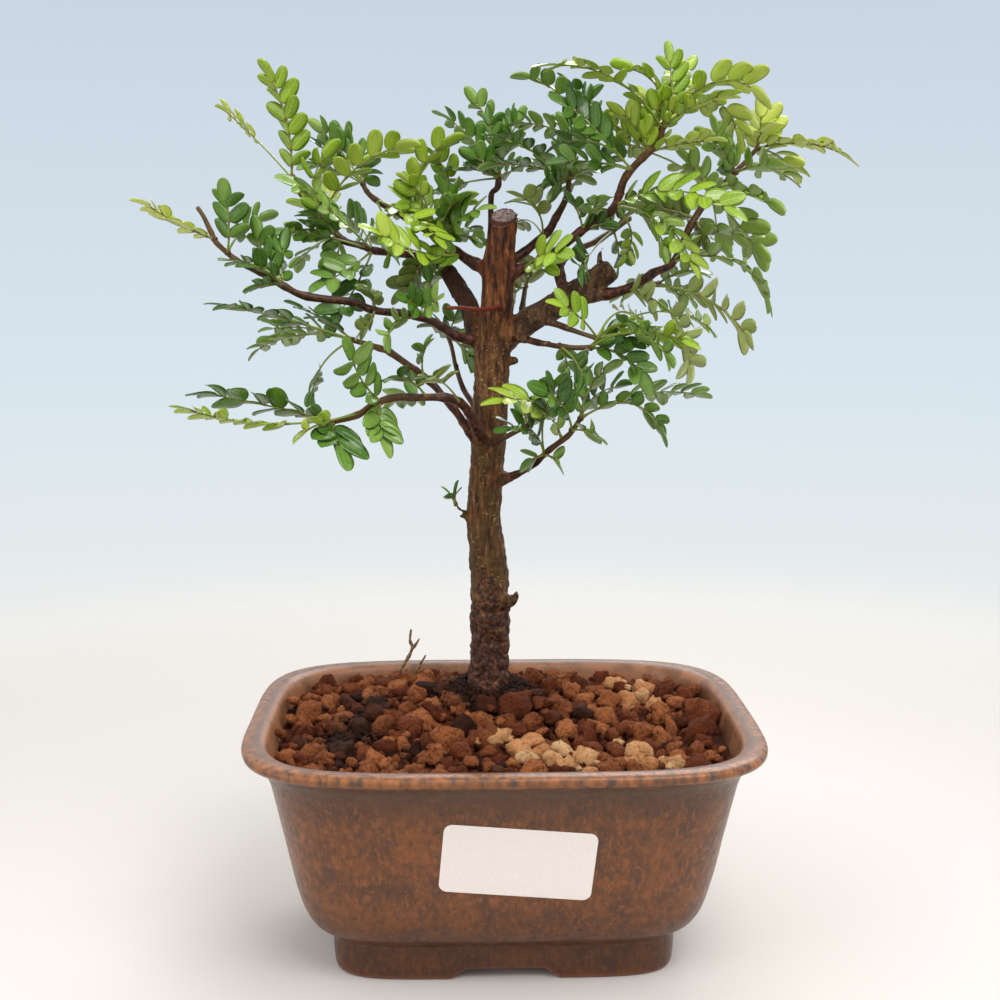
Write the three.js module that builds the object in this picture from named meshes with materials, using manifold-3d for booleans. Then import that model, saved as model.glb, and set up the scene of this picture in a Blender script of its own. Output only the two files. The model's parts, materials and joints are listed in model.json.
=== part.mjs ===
// A Chinese pepper bonsai in its glazed oblong pot. Millimetres, +Z up.
// The origin is the middle of the pot's footprint, on the surface it stands on, and -Y is the front.
import * as THREE from 'three';
import { mergeVertices } from 'three/addons/utils/BufferGeometryUtils.js';
import Module from 'manifold-3d';

const wasm = await Module();
wasm.setup();

// Driving dimensions of the pot
const RIM_HALF_WIDTH = 75;
const DEPTH_LESS_THAN_WIDTH = 16;
const POT_HEIGHT = 69.2;
const FOOT_HEIGHT = 10;
const FOOT_GAP_WIDTH = 24;
const FOOT_GAP_HEIGHT = 3;
const FOOT_RING_WIDTH = 8;
const RECESS_HEIGHT = 7;
const FLOOR_TOP = 13;
const DRAIN_RADIUS = 6;
const DRAIN_X = 28;
const POT_SIDES = 32;

// Driving dimensions of what is in the pot and on it
const GAP = 0.35;
const SOIL_EDGE = 62;
const MOUND_RISE = 5.5;
const TREE_X = -4.5;
const TREE_Y = 20;
const LUMP_COUNT = 26;
const LUMP_SEED = 9;
const SMALLEST_LUMP = 2.2;
const LARGEST_LUMP = 4.2;
const SMALLEST_EDGE = 0.02;
const NET_SIZE = 22;
const NET_THICKNESS = 1;
const NET_OPENING = 4;
const LABEL_WIDTH = 42;
const LABEL_HEIGHT = 21;
const LABEL_THICKNESS = 0.6;
const LABEL_CORNER = 2.4;
const LABEL_TILT = 5;
const LABEL_X = 2.8;
const LABEL_Z = 41.2;

// Driving dimensions of the leaves
const BLADE_THICKNESS = 0.7;
const RIB_WIDTH = 1.3;
const FOLD = 32;
const LEAFLET_LEAN = 36;
const LEAFLET_SLIMNESS = 0.5;
const BUD_RADIUS = 1.6;
const BUD_BEFORE_TWIG = 2.3;
const DEEPEST_TIP = 53;

// The tree is set out as it looks from the front: x and z are read on the upright plane through
// the middle of the pot, seen from EYE, and y is how far in front (-) or behind (+) it really is.
const EYE = new THREE.Vector3(-14, -419.8, 201);
function seen(x, z, y) {
  const reach = (y - EYE.y) / -EYE.y;
  return new THREE.Vector3(EYE.x + (x - EYE.x) * reach, y, EYE.z + (z - EYE.z) * reach);
}

// A seeded draw, so that every build is the same
function drawer(seed) {
  let state = seed;
  return function draw(low = 0, high = 1) {
    state = (Math.imul(state, 1664525) + 1013904223) >>> 0;
    return low + (high - low) * (state / 4294967296);
  };
}

// Solids for joining and cutting
function solidOf(geometry) {
  const bare = geometry.clone();
  bare.deleteAttribute('normal');
  bare.deleteAttribute('uv');
  const merged = mergeVertices(bare, 1e-4);
  return new wasm.Manifold(new wasm.Mesh({
    numProp: 3,
    vertProperties: new Float32Array(merged.attributes.position.array),
    triVerts: new Uint32Array(merged.index.array),
  }));
}

function geometryOf(solid) {
  const mesh = solid.getMesh();
  const geometry = new THREE.BufferGeometry();
  geometry.setAttribute('position', new THREE.BufferAttribute(mesh.vertProperties.slice(), 3));
  geometry.setIndex(new THREE.BufferAttribute(mesh.triVerts.slice(), 1));
  geometry.computeVertexNormals();
  return geometry;
}

// The largest body of a solid, with loose scraps dropped
function mainBody(solid) {
  const bodies = solid.decompose();
  bodies.sort((one, other) => other.volume() - one.volume());
  return bodies[0];
}

function indexed(points, faces) {
  const geometry = new THREE.BufferGeometry();
  geometry.setAttribute('position', new THREE.Float32BufferAttribute(points.flat(), 3));
  geometry.setIndex(faces.flat());
  return geometry;
}

// Skin over a stack of closed rings of equal length, with flat ends, from bottom to top
function loft(rings) {
  const count = rings[0].length;
  const points = rings.flat();
  const faces = [];
  for (let level = 0; level + 1 < rings.length; level += 1) {
    for (let side = 0; side < count; side += 1) {
      const next = (side + 1) % count;
      const low = level * count;
      const high = low + count;
      faces.push([low + side, low + next, high + next], [low + side, high + next, high + side]);
    }
  }
  const last = (rings.length - 1) * count;
  for (let side = 1; side + 1 < count; side += 1) {
    faces.push([0, side + 1, side], [last, last + side, last + side + 1]);
  }
  return indexed(points, faces);
}

// The pot: rounded oblong sections, each [half width, height, squareness]
const POT_OUTSIDE = [
  [50, 0, 6],
  [50.5, FOOT_HEIGHT, 6],
  [55, 13.5, 5.2],
  [59, 20, 4.6],
  [63, 35, 4.4],
  [66.8, 53, 4.4],
  [69, 61.5, 4.4],
  [73.2, 65.7, 4.4],
  [RIM_HALF_WIDTH, 67.5, 4.4],
  [73.2, POT_HEIGHT, 4.4],
];
const POT_INSIDE = [
  [69.6, 68.6, 4.4],
  [67.4, 63.5, 4.4],
  [61, 42, 4.4],
  [55, 24, 4.4],
  [46, FLOOR_TOP, 4.4],
];

function section([halfWidth, height, squareness], inset = 0) {
  const ring = [];
  for (let side = 0; side < POT_SIDES; side += 1) {
    const turn = ((side + 0.5) / POT_SIDES) * 2 * Math.PI;
    const across = Math.sign(Math.cos(turn)) * Math.abs(Math.cos(turn)) ** (2 / squareness);
    const along = Math.sign(Math.sin(turn)) * Math.abs(Math.sin(turn)) ** (2 / squareness);
    const halfDepth = halfWidth - DEPTH_LESS_THAN_WIDTH;
    ring.push([(halfWidth - inset) * across, (halfDepth - inset) * along, height]);
  }
  return ring;
}

function box(width, depth, height, x, y, z) {
  return solidOf(new THREE.BoxGeometry(width, depth, height).translate(x, y, z));
}

function makePot() {
  let pot = solidOf(loft([...POT_OUTSIDE, ...POT_INSIDE].map((row) => section(row))));
  const recess = [[50 - FOOT_RING_WIDTH, -1, 6], [50 - FOOT_RING_WIDTH, RECESS_HEIGHT, 6]];
  pot = pot.subtract(solidOf(loft(recess.map((row) => section(row)))));
  const gapMiddle = FOOT_GAP_HEIGHT / 2 - 0.5;
  const gapTall = FOOT_GAP_HEIGHT + 1;
  pot = pot.subtract(box(FOOT_GAP_WIDTH, 160, gapTall, 0, 0, gapMiddle));
  pot = pot.subtract(box(160, FOOT_GAP_WIDTH, gapTall, 0, 0, gapMiddle));
  for (const x of [-DRAIN_X, DRAIN_X]) {
    const drain = new THREE.CylinderGeometry(DRAIN_RADIUS, DRAIN_RADIUS, 20, 16);
    pot = pot.subtract(solidOf(drain.rotateX(Math.PI / 2).translate(x, 0, FLOOR_TOP)));
  }
  return pot;
}

// A tube through rows of [x, z, y, radius], with one ring of corners at each row
function tube(rows, sides, more = 0, cut = null) {
  const path = rows.map(([x, z, y]) => seen(x, z, y));
  const across = new THREE.Vector3(1, 0.13, 0.07);
  const rings = path.map((centre, level) => {
    const before = path[Math.max(level - 1, 0)];
    const after = path[Math.min(level + 1, path.length - 1)];
    const ahead = after.clone().sub(before).normalize();
    across.addScaledVector(ahead, -across.dot(ahead)).normalize();
    const other = new THREE.Vector3().crossVectors(ahead, across);
    const radius = rows[level][3] + more;
    const ring = [];
    for (let side = 0; side < sides; side += 1) {
      const turn = (side / sides) * 2 * Math.PI;
      const point = centre.clone();
      point.addScaledVector(across, radius * Math.cos(turn));
      point.addScaledVector(other, radius * Math.sin(turn));
      if (cut && level === path.length - 1) {
        point.z = centre.z - (cut.x * (point.x - centre.x) + cut.y * (point.y - centre.y)) / cut.z;
      }
      ring.push([point.x, point.y, point.z]);
    }
    return ring;
  });
  return solidOf(loft(rings));
}

// The wood, in rows of [x, z, y, radius]
const SAW_CUT = new THREE.Vector3(-0.1, -0.54, 0.84);
const TRUNK = [
  [-3.9, 42, 20, 10.5], [-3.8, 58, 20, 9], [-3.8, 68, 20, 8], [-3.9, 75, 20, 6.8], [-3.9, 84, 20, 6.1],
  [-3.8, 93, 20, 6], [-3.7, 103, 19, 5.9], [-4, 113, 19, 5.7], [-4.9, 121, 18, 5.5],
  [-5.6, 128, 18, 5.3], [-5.2, 137, 17, 5.1], [-4.4, 148, 17, 5.3], [-3.7, 160, 16, 5.2],
  [-3.3, 172, 16, 5.2], [-2.6, 182, 16, 5.2], [-1.7, 191, 15, 4.7], [-1.5, 199, 15, 4.8],
  [-0.8, 206, 14, 4.6], [-0.2, 212, 14, 4.3], [0.1, 215.6, 14, 4.1],
];
const LIMBS = {
  leftLimb: [[-3, 176, 18, 4], [-7.5, 183, 20, 3.4], [-9.8, 189.7, 22, 3.1], [-12.5, 194.3, 24, 2.9],
    [-15, 198.5, 25, 2.6], [-16.8, 200.8, 26, 2.2]],
  rightLimb: [[-2, 179, 16, 4.4], [6, 184.6, 14, 3.6], [12, 188.3, 12, 3.7], [18, 192, 11, 3.8],
    [24, 195.7, 10, 3.8], [30.3, 199.8, 9, 3.5]],
};
const BRANCHES = {
  leftLow: [[-5, 149, 14, 2.2], [-7, 152.8, 9, 1.7], [-8.6, 156, 6, 1.5], [-10.1, 159.1, 4, 1.4],
    [-12.8, 162.2, 2, 1.3], [-17.1, 163.6, 0, 1.25], [-25.7, 163.6, -4, 1.15],
    [-33.5, 163.2, -7, 1.1], [-38.1, 161.3, -9, 1], [-42.4, 158.7, -11, 0.95],
      [-49.5, 156.5, -13, 0.8]],
  leftSecond: [[-6, 149, 14, 2], [-9.7, 153.6, 10, 1.4], [-15, 161, 9, 1.15], [-22.2, 169.1, 10, 1.1],
    [-25.3, 171.6, 10, 1.1], [-32.6, 176.7, 9, 1], [-35.7, 177.9, 8, 0.9], [-43.8, 180.3, 6, 0.8]],
  leftLong: [[-3, 178, 17, 2.6], [-9.4, 180.3, 15, 1.8], [-14, 181.6, 13, 1.4], [-17.9, 184.3, 12, 1.3],
    [-24.1, 187, 10, 1.2], [-37.6, 188.9, 8, 1.1], [-43.4, 191.2, 7, 1.1], [-56.2, 192.7, 5, 1.1],
    [-62.3, 195.3, 3, 1], [-69.6, 199.5, 2, 0.9], [-76.1, 203, 1, 0.85], [-81.5, 207.7, 0, 0.75],
    [-83, 210.6, 0, 0.7], [-86.6, 217.5, 0, 0.6]],
  leftHigh: [[-2, 199, 16, 2.4], [-8, 202, 17, 1.8], [-13.7, 205.5, 20, 1.3], [-19.5, 209.7, 25, 1.15],
    [-28, 215, 30, 1], [-36.4, 220, 34, 0.9], [-38.6, 222.2, 35, 0.85], [-39.8, 224.4, 36, 0.8]],
  leftCrown: [[-15, 198.5, 25, 2], [-19, 202, 26, 1.4], [-25, 204, 27, 1.2], [-36.4, 205.5, 28, 1.15],
    [-40.2, 207, 28, 1.1], [-45.8, 208.6, 28, 1.05], [-49.2, 212.5, 28, 0.95],
    [-54.5, 218.5, 28, 0.9], [-57.5, 221.5, 28, 0.85], [-60, 226.5, 28, 0.8]],
  rightFirst: [[-1, 197.5, 14, 2.6], [4.5, 200, 13, 1.8], [10.3, 202.6, 11, 1.45],
    [13.8, 204.4, 10, 1.35],
    [21.9, 211, 7, 1.25], [28, 215.2, 5, 1.25], [31, 217.1, 4, 1.2], [33, 221.5, 3, 1.15],
    [35.2, 227, 2, 1.1], [39.7, 231.9, 1, 1.05], [43.9, 236, 0, 1], [45.3, 241, 0, 0.9],
    [48.5, 244.8, 0, 0.8], [52, 248.8, 0, 0.75]],
  rightSecond: [[-1, 201, 16, 2.2], [6, 205.3, 18, 1.3], [12.6, 211, 21, 1.2], [15, 215, 22, 1.15],
    [18.2, 221.8, 24, 0.95], [18.7, 227, 25, 0.85], [20.9, 236.4, 26, 0.8]],
  rightThird: [[18, 193.5, 12, 1.9], [16.4, 198.5, 15, 1.6], [16.8, 202.7, 19, 1.3],
    [21.9, 206.1, 25, 1.1],
    [27.7, 209.1, 31, 1], [36.2, 214.8, 40, 0.8]],
  rightLong: [[24, 193, 9, 2.2], [30.4, 193.4, 7, 1.7], [37, 195.4, 6, 1.35], [43.1, 199.2, 6, 1.25],
    [48.1, 201.8, 7, 1.15], [51.2, 206.8, 8, 1.1], [53.9, 213, 9, 1.05], [57.5, 219.1, 11, 1],
    [60.2, 222.3, 12, 0.9], [60.1, 226, 12, 0.65]],
  rightShoot: [[60.2, 222, 12, 0.8], [66.5, 228, 18, 0.7], [72.6, 234.8, 23, 0.65]],
  underLimb: [[2, 181.8, 14, 1.7], [9.9, 179.7, 5, 0.9], [17.3, 178.4, -2, 0.8], [25.8, 178, -8, 0.75]],
  underLimbUpper: [[9.5, 186.8, 12, 1.5], [18, 183.9, 0, 0.8], [27.7, 180.5, -8, 0.7]],
  rightLow: [[-1, 139.5, 15, 1.9], [3.9, 140.8, 11, 1.1], [9.7, 144.3, 7, 0.95], [13.8, 148.3, 3, 0.85],
    [18.8, 152.2, -1, 0.8], [22.9, 157.6, -4, 0.65]],
  rightFork: [[-4.3, 149.8, 13, 1.4], [-1.4, 151.2, 8, 0.9], [7.2, 155.2, -3, 0.7]],
  backUpright: [[-2.6, 197, 18, 1.3], [-3.4, 212, 26, 0.95], [-3.5, 221, 30, 0.8], [-1.4, 224.4, 31, 1],
    [-1.6, 234.9, 33, 0.6], [-2.3, 239.4, 34, 0.55]],
  backLeft: [[-5, 158, 20, 1.1], [-11.5, 166, 32, 0.8], [-15.7, 181.4, 40, 0.6]],
  backRight: [[4.5, 184, 16, 1.1], [5.6, 190, 27, 0.8], [6.5, 196, 36, 0.7]],
  farRight: [[43.1, 199, 6.4, 0.9], [42, 197, 28, 0.7], [45, 196.5, 46, 0.65]],
  frontThin: [[0, 189.2, 13, 0.7], [-2, 189.5, 9, 0.65], [-7.5, 189, 4, 0.6], [-16.4, 189.5, -4, 0.5]],
};
const STUBS = {
  limbStub: [[27.6, 199, 9.5, 0.9], [27.9, 205, 9, 0.65], [28.9, 206.8, 9, 0.55]],
  limbSpur: [[6.6, 186.5, 13, 0.9], [7.2, 189.8, 12.5, 0.5]],
  brokenChip: [[0, 102.5, 16, 2.6], [3.2, 103.3, 12.8, 1.7], [4.3, 105.2, 12, 0.7]],
  leftKnot: [[-8, 127.5, 17, 1.8], [-12.6, 128.6, 15, 0.7]],
  sproutStem: [[-8, 129, 16.5, 1], [-12.3, 130.4, 14, 0.6], [-14, 132.3, 13, 0.5]],
  roundStub: [[0.8, 174, 14.5, 1.5], [3.9, 174.3, 13, 1.2]],
};

function makeWood(more = 0) {
  const parts = [tube(TRUNK, 10, more, SAW_CUT)];
  for (const rows of Object.values(LIMBS)) {
    parts.push(tube(rows, 7, more));
  }
  for (const rows of [...Object.values(BRANCHES), ...Object.values(STUBS)]) {
    parts.push(tube(rows, rows[0][3] > 1.3 ? 5 : 4, more));
  }
  return parts.reduce((whole, part) => whole.add(part));
}

// The leaves grow in sprays, each from one bud on a twig. A spray is [tone, bud x, bud z, bud y,
// leaves], and a leaf is [tip x, tip z, tip y, bow, roll, pairs of leaflets, leaflet length].
// bow lifts the middle of the rib off the straight line, and roll turns the blade towards the front.
const SPRAYS = {
  leftCrown: ['young', -60, 226, 28, [[-67.5, 257.5, 20, 2.5, 72, 6, 8],
    [-79.5, 245.5, 55, 0.5, 20, 4, 5.5]]],
  upperLeft: ['mature', -39.8, 224.2, 36, [[-47.5, 240.5, 44, 1, 50, 3, 6.5],
    [-57.5, 229.5, 52, 1.5, 15, 3, 6],
    [-55, 236.5, 64, 1, 20, 4, 5.5]]],
  upperLeftLime: ['young', -36.2, 219.8, 34, [[-17, 207.5, 2, 1.5, -35, 5, 6.8]]],
  leftTip: ['young', -82.2, 208.8, 0, [[-104, 220.6, -8, -1, 20, 5, 6.4]]],
  leftTipUp: ['mature', -78.6, 205, 0, [[-79.5, 224.5, -8, 1, 75, 3, 6.8],
    [-65.5, 215.8, 10, 2, 55, 3, 6.2]]],
  leftMiddle: ['mature', -63, 195.8, 3, [[-80, 203, -10, 2, 35, 3, 7.2], [-61.5, 210, 8, 1, 60, 3, 6.2],
    [-70, 214, 16, -2, 55, 3, 6.8], [-74, 194, 34, 1, 25, 3, 5.6]]],
  leftCluster: ['mature', -46.8, 209.7, 28, [[-64, 209.5, 42, 2, 40, 4, 7],
    [-57.5, 217, 12, 1, 60, 3, 7],
    [-53, 197.5, 18, -2, 60, 3, 7]]],
  leftLime: ['young', -51.4, 215, 28, [[-24.5, 235.5, 12, 5, 55, 5, 8.4]]],
  leftInner: ['mature', -37.4, 205.8, 28, [[-50.5, 183.5, 2, -1, -65, 4, 8.8],
    [-62.6, 226.3, 2, 1, -25, 5, 6.5]]],
  leftSecondEnd: ['mature', -43.4, 180.2, 6, [[-84, 190.8, -14, 1, 20, 5, 6.8],
    [-73.5, 176, 14, 3.5, 22, 4, 6.2]]],
  leftLowMiddle: ['mature', -35.5, 162.3, -7.9, [[-44.5, 179.8, -24, -2, -78, 4, 7.8],
    [-31.6, 148.5, -18, -2.5, -75, 4, 7.4]]],
  leftOlive: ['olive', -37, 189, 8, [[-43.5, 181.5, -4, -1.5, 50, 3, 4.8],
    [-42, 195.5, 22, 1.5, -45, 3, 5.6]]],
  leftLowEnd: ['mature', -49.3, 156.6, -13, [[-90, 165.6, -32, 0.5, 26, 6, 9.2],
    [-44.3, 145.3, -26, -1.5, -80, 3, 9.6]]],
  leftLowLime: ['young', -42.4, 158.7, -11, [[-95.5, 161.5, 2, -4, 15, 6, 6.8],
    [-61, 152, 12, 1, 30, 3, 6]]],
  leftLowInner: ['mature', -22.5, 163.9, -3, [[-34.5, 169, -18, 2.5, 45, 3, 6]]],
  leftLowBack: ['olive', -12.4, 161.8, 3, [[-21.5, 170.5, -4, 1, 60, 3, 6.4]]],
  leftSecondMiddle: ['mature', -23, 169.7, 10, [[-20.5, 181, 0, 1.5, 35, 2, 5.4]]],
  backLeftTip: ['mature', -15.6, 181, 40, [[-23.5, 184.5, 52, 1, 25, 2, 5.6],
    [-11, 189.5, 54, 1, 60, 2, 5.8],
    [-9, 171, 56, 2, 65, 3, 6.6]]],
  leftRosette: ['mature', -23.5, 186.8, 10.2, [[-17.5, 192.5, -8, 1, -70, 3, 5.6],
    [-29.5, 192.8, -4, 1, -60, 2, 5.6],
    [-34, 177.5, 34, 3.5, 55, 4, 5.6]]],
  centreLime: ['young', -12, 204.5, 19.2, [[-38.5, 213, -2, -3, -50, 5, 8.4]]],
  leftDark: ['olive', -22, 203, 26.5, [[-31.5, 192, 36, -1, 75, 3, 7.4],
    [-25, 192, 54, 2, 60, 3, 6.8]]],
  centreTall: ['young', -21.8, 211.2, 26.5, [[-10.5, 238.5, 6, 8, 55, 4, 7.8],
    [-31, 226.5, 14, 4, 30, 2, 5.6]]],
  centreBud: ['mature', -17.5, 208.3, 23.4, [[-3, 218, 2, 2.5, -40, 4, 6.8],
    [-9.5, 222, 34, 3, 45, 3, 6.8]]],
  backTop: ['mature', -1.4, 226, 31.3, [[-10.5, 250, 46, 3, 65, 5, 6.2],
    [-18, 228.5, 16, 1.5, 15, 3, 5.6],
    [-22.5, 221, 52, 1, 20, 4, 5.6], [-3.4, 246, 26, -1, 60, 3, 5.4], [6, 245, 54, 1, 40, 3, 5.6]]],
  rightSecondTop: ['mature', 18.6, 226, 24.8, [[-5.2, 238, 8, 2, 25, 4, 6.6],
    [-6.5, 229.3, 36, 2, 28, 4, 6.4],
    [23.5, 231, 10, -1, 70, 2, 6.8], [10.5, 223.5, 12, 1, 60, 2, 6.2]]],
  rightSecondEnd: ['mature', 20.8, 236, 26, [[1.5, 254.2, 10, 6, 45, 4, 7],
    [2, 241, 44, 2, 45, 4, 6.2]]],
  rightSecondLow: ['olive', 11.3, 209.9, 20.5, [[1.5, 221.5, 44, 3.5, 60, 3, 6.4]]],
  rightFirstLow: ['young', 6, 200.8, 12.5, [[19, 204.7, -14, 2, -50, 3, 7.4]]],
  rightGloss: ['mature', 36.5, 228.4, 1.6, [[14.5, 249, -14, 1, -50, 5, 7],
    [12.5, 234.3, 24, 5, 35, 5, 6.8]]],
  rightInnerLime: ['young', 41.5, 233.4, 0.6, [[29.5, 246, 22, 2, 55, 4, 6.4],
    [62, 236.5, 28, 1, 30, 5, 6.4],
    [23, 243, 42, 2, 35, 4, 6.4], [46, 251, 40, 1, 45, 3, 6.4]]],
  rightTopLime: ['young', 45.1, 240, 0, [[9, 256.8, -12, 6.5, 28, 6, 7.2],
    [66, 249.8, -16, 2, 30, 5, 6.8]]],
  rightTopUpright: ['young', 48, 244.2, 0, [[45.8, 262.6, 8, 0.5, 75, 4, 6.6]]],
  rightTopEnd: ['young', 52, 248.6, 0, [[76, 246, -10, 6, 50, 4, 8.4]]],
  rightLimeEnd: ['young', 72.4, 234.6, 23, [[101, 231.3, 8, 3, 20, 6, 7.6],
    [72, 249, 34, 1, 70, 3, 8]]],
  rightShootMiddle: ['mature', 66.4, 227.9, 17.9, [[80, 229, 2, 1.5, 60, 2, 8.4],
    [84.3, 224, 66, 3, 30, 3, 6.4],
    [60.5, 243.5, 38, -2, 55, 4, 6.4]]],
  rightFrontLong: ['young', 31.6, 218.4, 3.8, [[68.5, 214.8, -24, 6, -42, 6, 7.8],
    [47, 202.5, -8, 4.5, 60, 4, 5.4]]],
  rightFirstMiddle: ['mature', 22.8, 211.5, 6.7, [[29.5, 221.5, -8, 1, 50, 2, 5.8],
    [17.5, 222, 0, 1, 45, 2, 5.2]]],
  rightOlive: ['olive', 54.8, 214.8, 9.6, [[36, 217.5, 28, 1.5, 60, 5, 6.8],
    [57.5, 206, 22, 1, 60, 2, 6]]],
  rightLongEnd: ['mature', 59.4, 221.4, 11.7, [[75.5, 202.3, 26, 1, 55, 4, 8.6],
    [79.8, 216.5, -8, 3, 30, 3, 7.2],
    [50, 233, 22, 1, 55, 3, 6.4]]],
  rightArching: ['mature', 48.6, 202.5, 7.1, [[78.5, 186.3, -18, 9, 22, 6, 7.8]]],
  farRightPale: ['mature', 44.8, 196.5, 45, [[59.5, 200, 53, 1.5, 40, 4, 6.2],
    [53.5, 190.5, 42, 1, 50, 3, 5.8]]],
  rightDroop: ['olive', 36, 195, 6.2, [[73, 178, -36, 7, 50, 5, 7.4],
    [44.5, 188.5, 34, 1, 60, 3, 6.8]]],
  underLimbEnd: ['young', 27.4, 180.6, -7.9, [[56.8, 178.3, -28, 3, 30, 5, 6.8],
    [62.3, 182.3, 8, 7, -35, 5, 6.2],
    [14, 191.5, -24, 1.5, -55, 3, 6.2]]],
  underLimbFront: ['mature', 25.4, 178, -7.7, [[42.3, 165.2, -22, 4, -60, 4, 7.2],
    [49.8, 172.5, -40, 7, 40, 4, 6.2]]],
  underLimbHanging: ['mature', 16.4, 178.6, -1, [[24, 167, -12, 1.5, 60, 3, 6.4]]],
  rightLowEnd: ['mature', 22.7, 157.4, -4, [[36.5, 167, 10, 3, 55, 4, 6.4],
    [48.6, 148.5, -16, 9, 35, 5, 6.4],
    [59.8, 163.8, 24, 4, 35, 6, 6.6], [34, 173.5, -6, 3, 45, 4, 6.4]]],
  rightLowDark: ['mature', 20.2, 154, -2, [[8.5, 166.5, -18, 3, -62, 3, 7.4],
    [28.8, 151.5, 8, 1, 30, 2, 5.8]]],
  rightLowLime: ['young', 17.4, 151.1, 0.2, [[-5.5, 160.4, -15, 7, -38, 5, 8.2]]],
  rightLowInner: ['mature', 12.2, 146.8, 4.4, [[-2, 153.2, -18, 5, -50, 4, 6.8],
    [6, 142, 18, 1, 50, 1, 5.8],
    [16.8, 142.5, 20, 1, 50, 1, 5.6]]],
  forkEnd: ['mature', 7, 155.1, -2.8, [[4, 161, -10, 1, 50, 1, 6], [11.5, 159.5, -10, 1, 50, 1, 5.8]]],
  backRightEnd: ['olive', 6.4, 195.6, 35.6, [[13.5, 203.5, 50, 1, 60, 3, 6.8],
    [2.5, 191.5, 54, 1, 60, 2, 6.6]]],
  rightThird: ['mature', 31.5, 211.6, 35, [[32.5, 220, 64, 1, 60, 3, 7], [21.5, 199, 26, 1, 60, 3, 6.8],
    [45, 223, 52, 1, 50, 3, 6.6]]],
  trunkSprout: ['mature', -13.8, 132, 13.2, [[-18, 132.5, 8, 2.5, 35, 1, 4.8],
    [-12.3, 137, 6, 1, 40, 1, 4.8]]],
};

// How many leaflet pairs the solids carry, and the swings tried until a leaf is clear of the rest
const MOST_PAIRS = 2;
const SWINGS = [0, 6, -6, 12, -12, 18, -18, 25, -25, 33, -33, 42, -42];

// A spray's bud sits on the side of its twig that faces the eye
function budOf([, budX, budZ, budY]) {
  const middle = seen(budX, budZ, budY);
  const front = EYE.clone().sub(middle).normalize();
  return middle.addScaledVector(front, BUD_BEFORE_TWIG);
}

// The course of a leaf's rib, with its frame, in the order of the table's columns
function rib(spray, leaf, swing) {
  const [, budX, budZ, budY] = spray;
  const [tipX, tipZ, tipY, bow, roll] = leaf;
  const base = budOf(spray);
  const tipDepth = Math.max(-DEEPEST_TIP, Math.min(DEEPEST_TIP, tipY + swing));
  const tip = seen(tipX, tipZ, tipDepth);
  const runX = tipX - budX;
  const runZ = tipZ - budZ;
  const side = runX >= 0 ? 1 : -1;
  const reach = Math.hypot(runX, runZ);
  const middle = seen(
    (budX + tipX) / 2 - (2 * bow * side * runZ) / reach,
    (budZ + tipZ) / 2 + (2 * bow * side * runX) / reach,
    (budY + tipDepth) / 2,
  );
  const turn = THREE.MathUtils.degToRad(roll);
  const chord = tip.clone().sub(base);
  const upright = new THREE.Vector3().crossVectors(EYE.clone().sub(base), chord).z < 0 ? -1 : 1;
  return (share) => {
    const point = new THREE.Vector3();
    point.addScaledVector(base, (1 - share) ** 2);
    point.addScaledVector(middle, 2 * share * (1 - share));
    point.addScaledVector(tip, share ** 2);
    const ahead = new THREE.Vector3();
    ahead.addScaledVector(middle.clone().sub(base), 1 - share);
    ahead.addScaledVector(tip.clone().sub(middle), share);
    ahead.normalize();
    const front = EYE.clone().sub(point);
    front.addScaledVector(ahead, -front.dot(ahead)).normalize();
    const above = new THREE.Vector3().crossVectors(front, ahead).multiplyScalar(upright);
    const span = front.clone().multiplyScalar(Math.cos(turn)).addScaledVector(above, Math.sin(turn));
    const face = front.clone().multiplyScalar(-Math.sin(turn)).addScaledVector(above, Math.cos(turn));
    return { point, ahead, span, face };
  };
}

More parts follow.
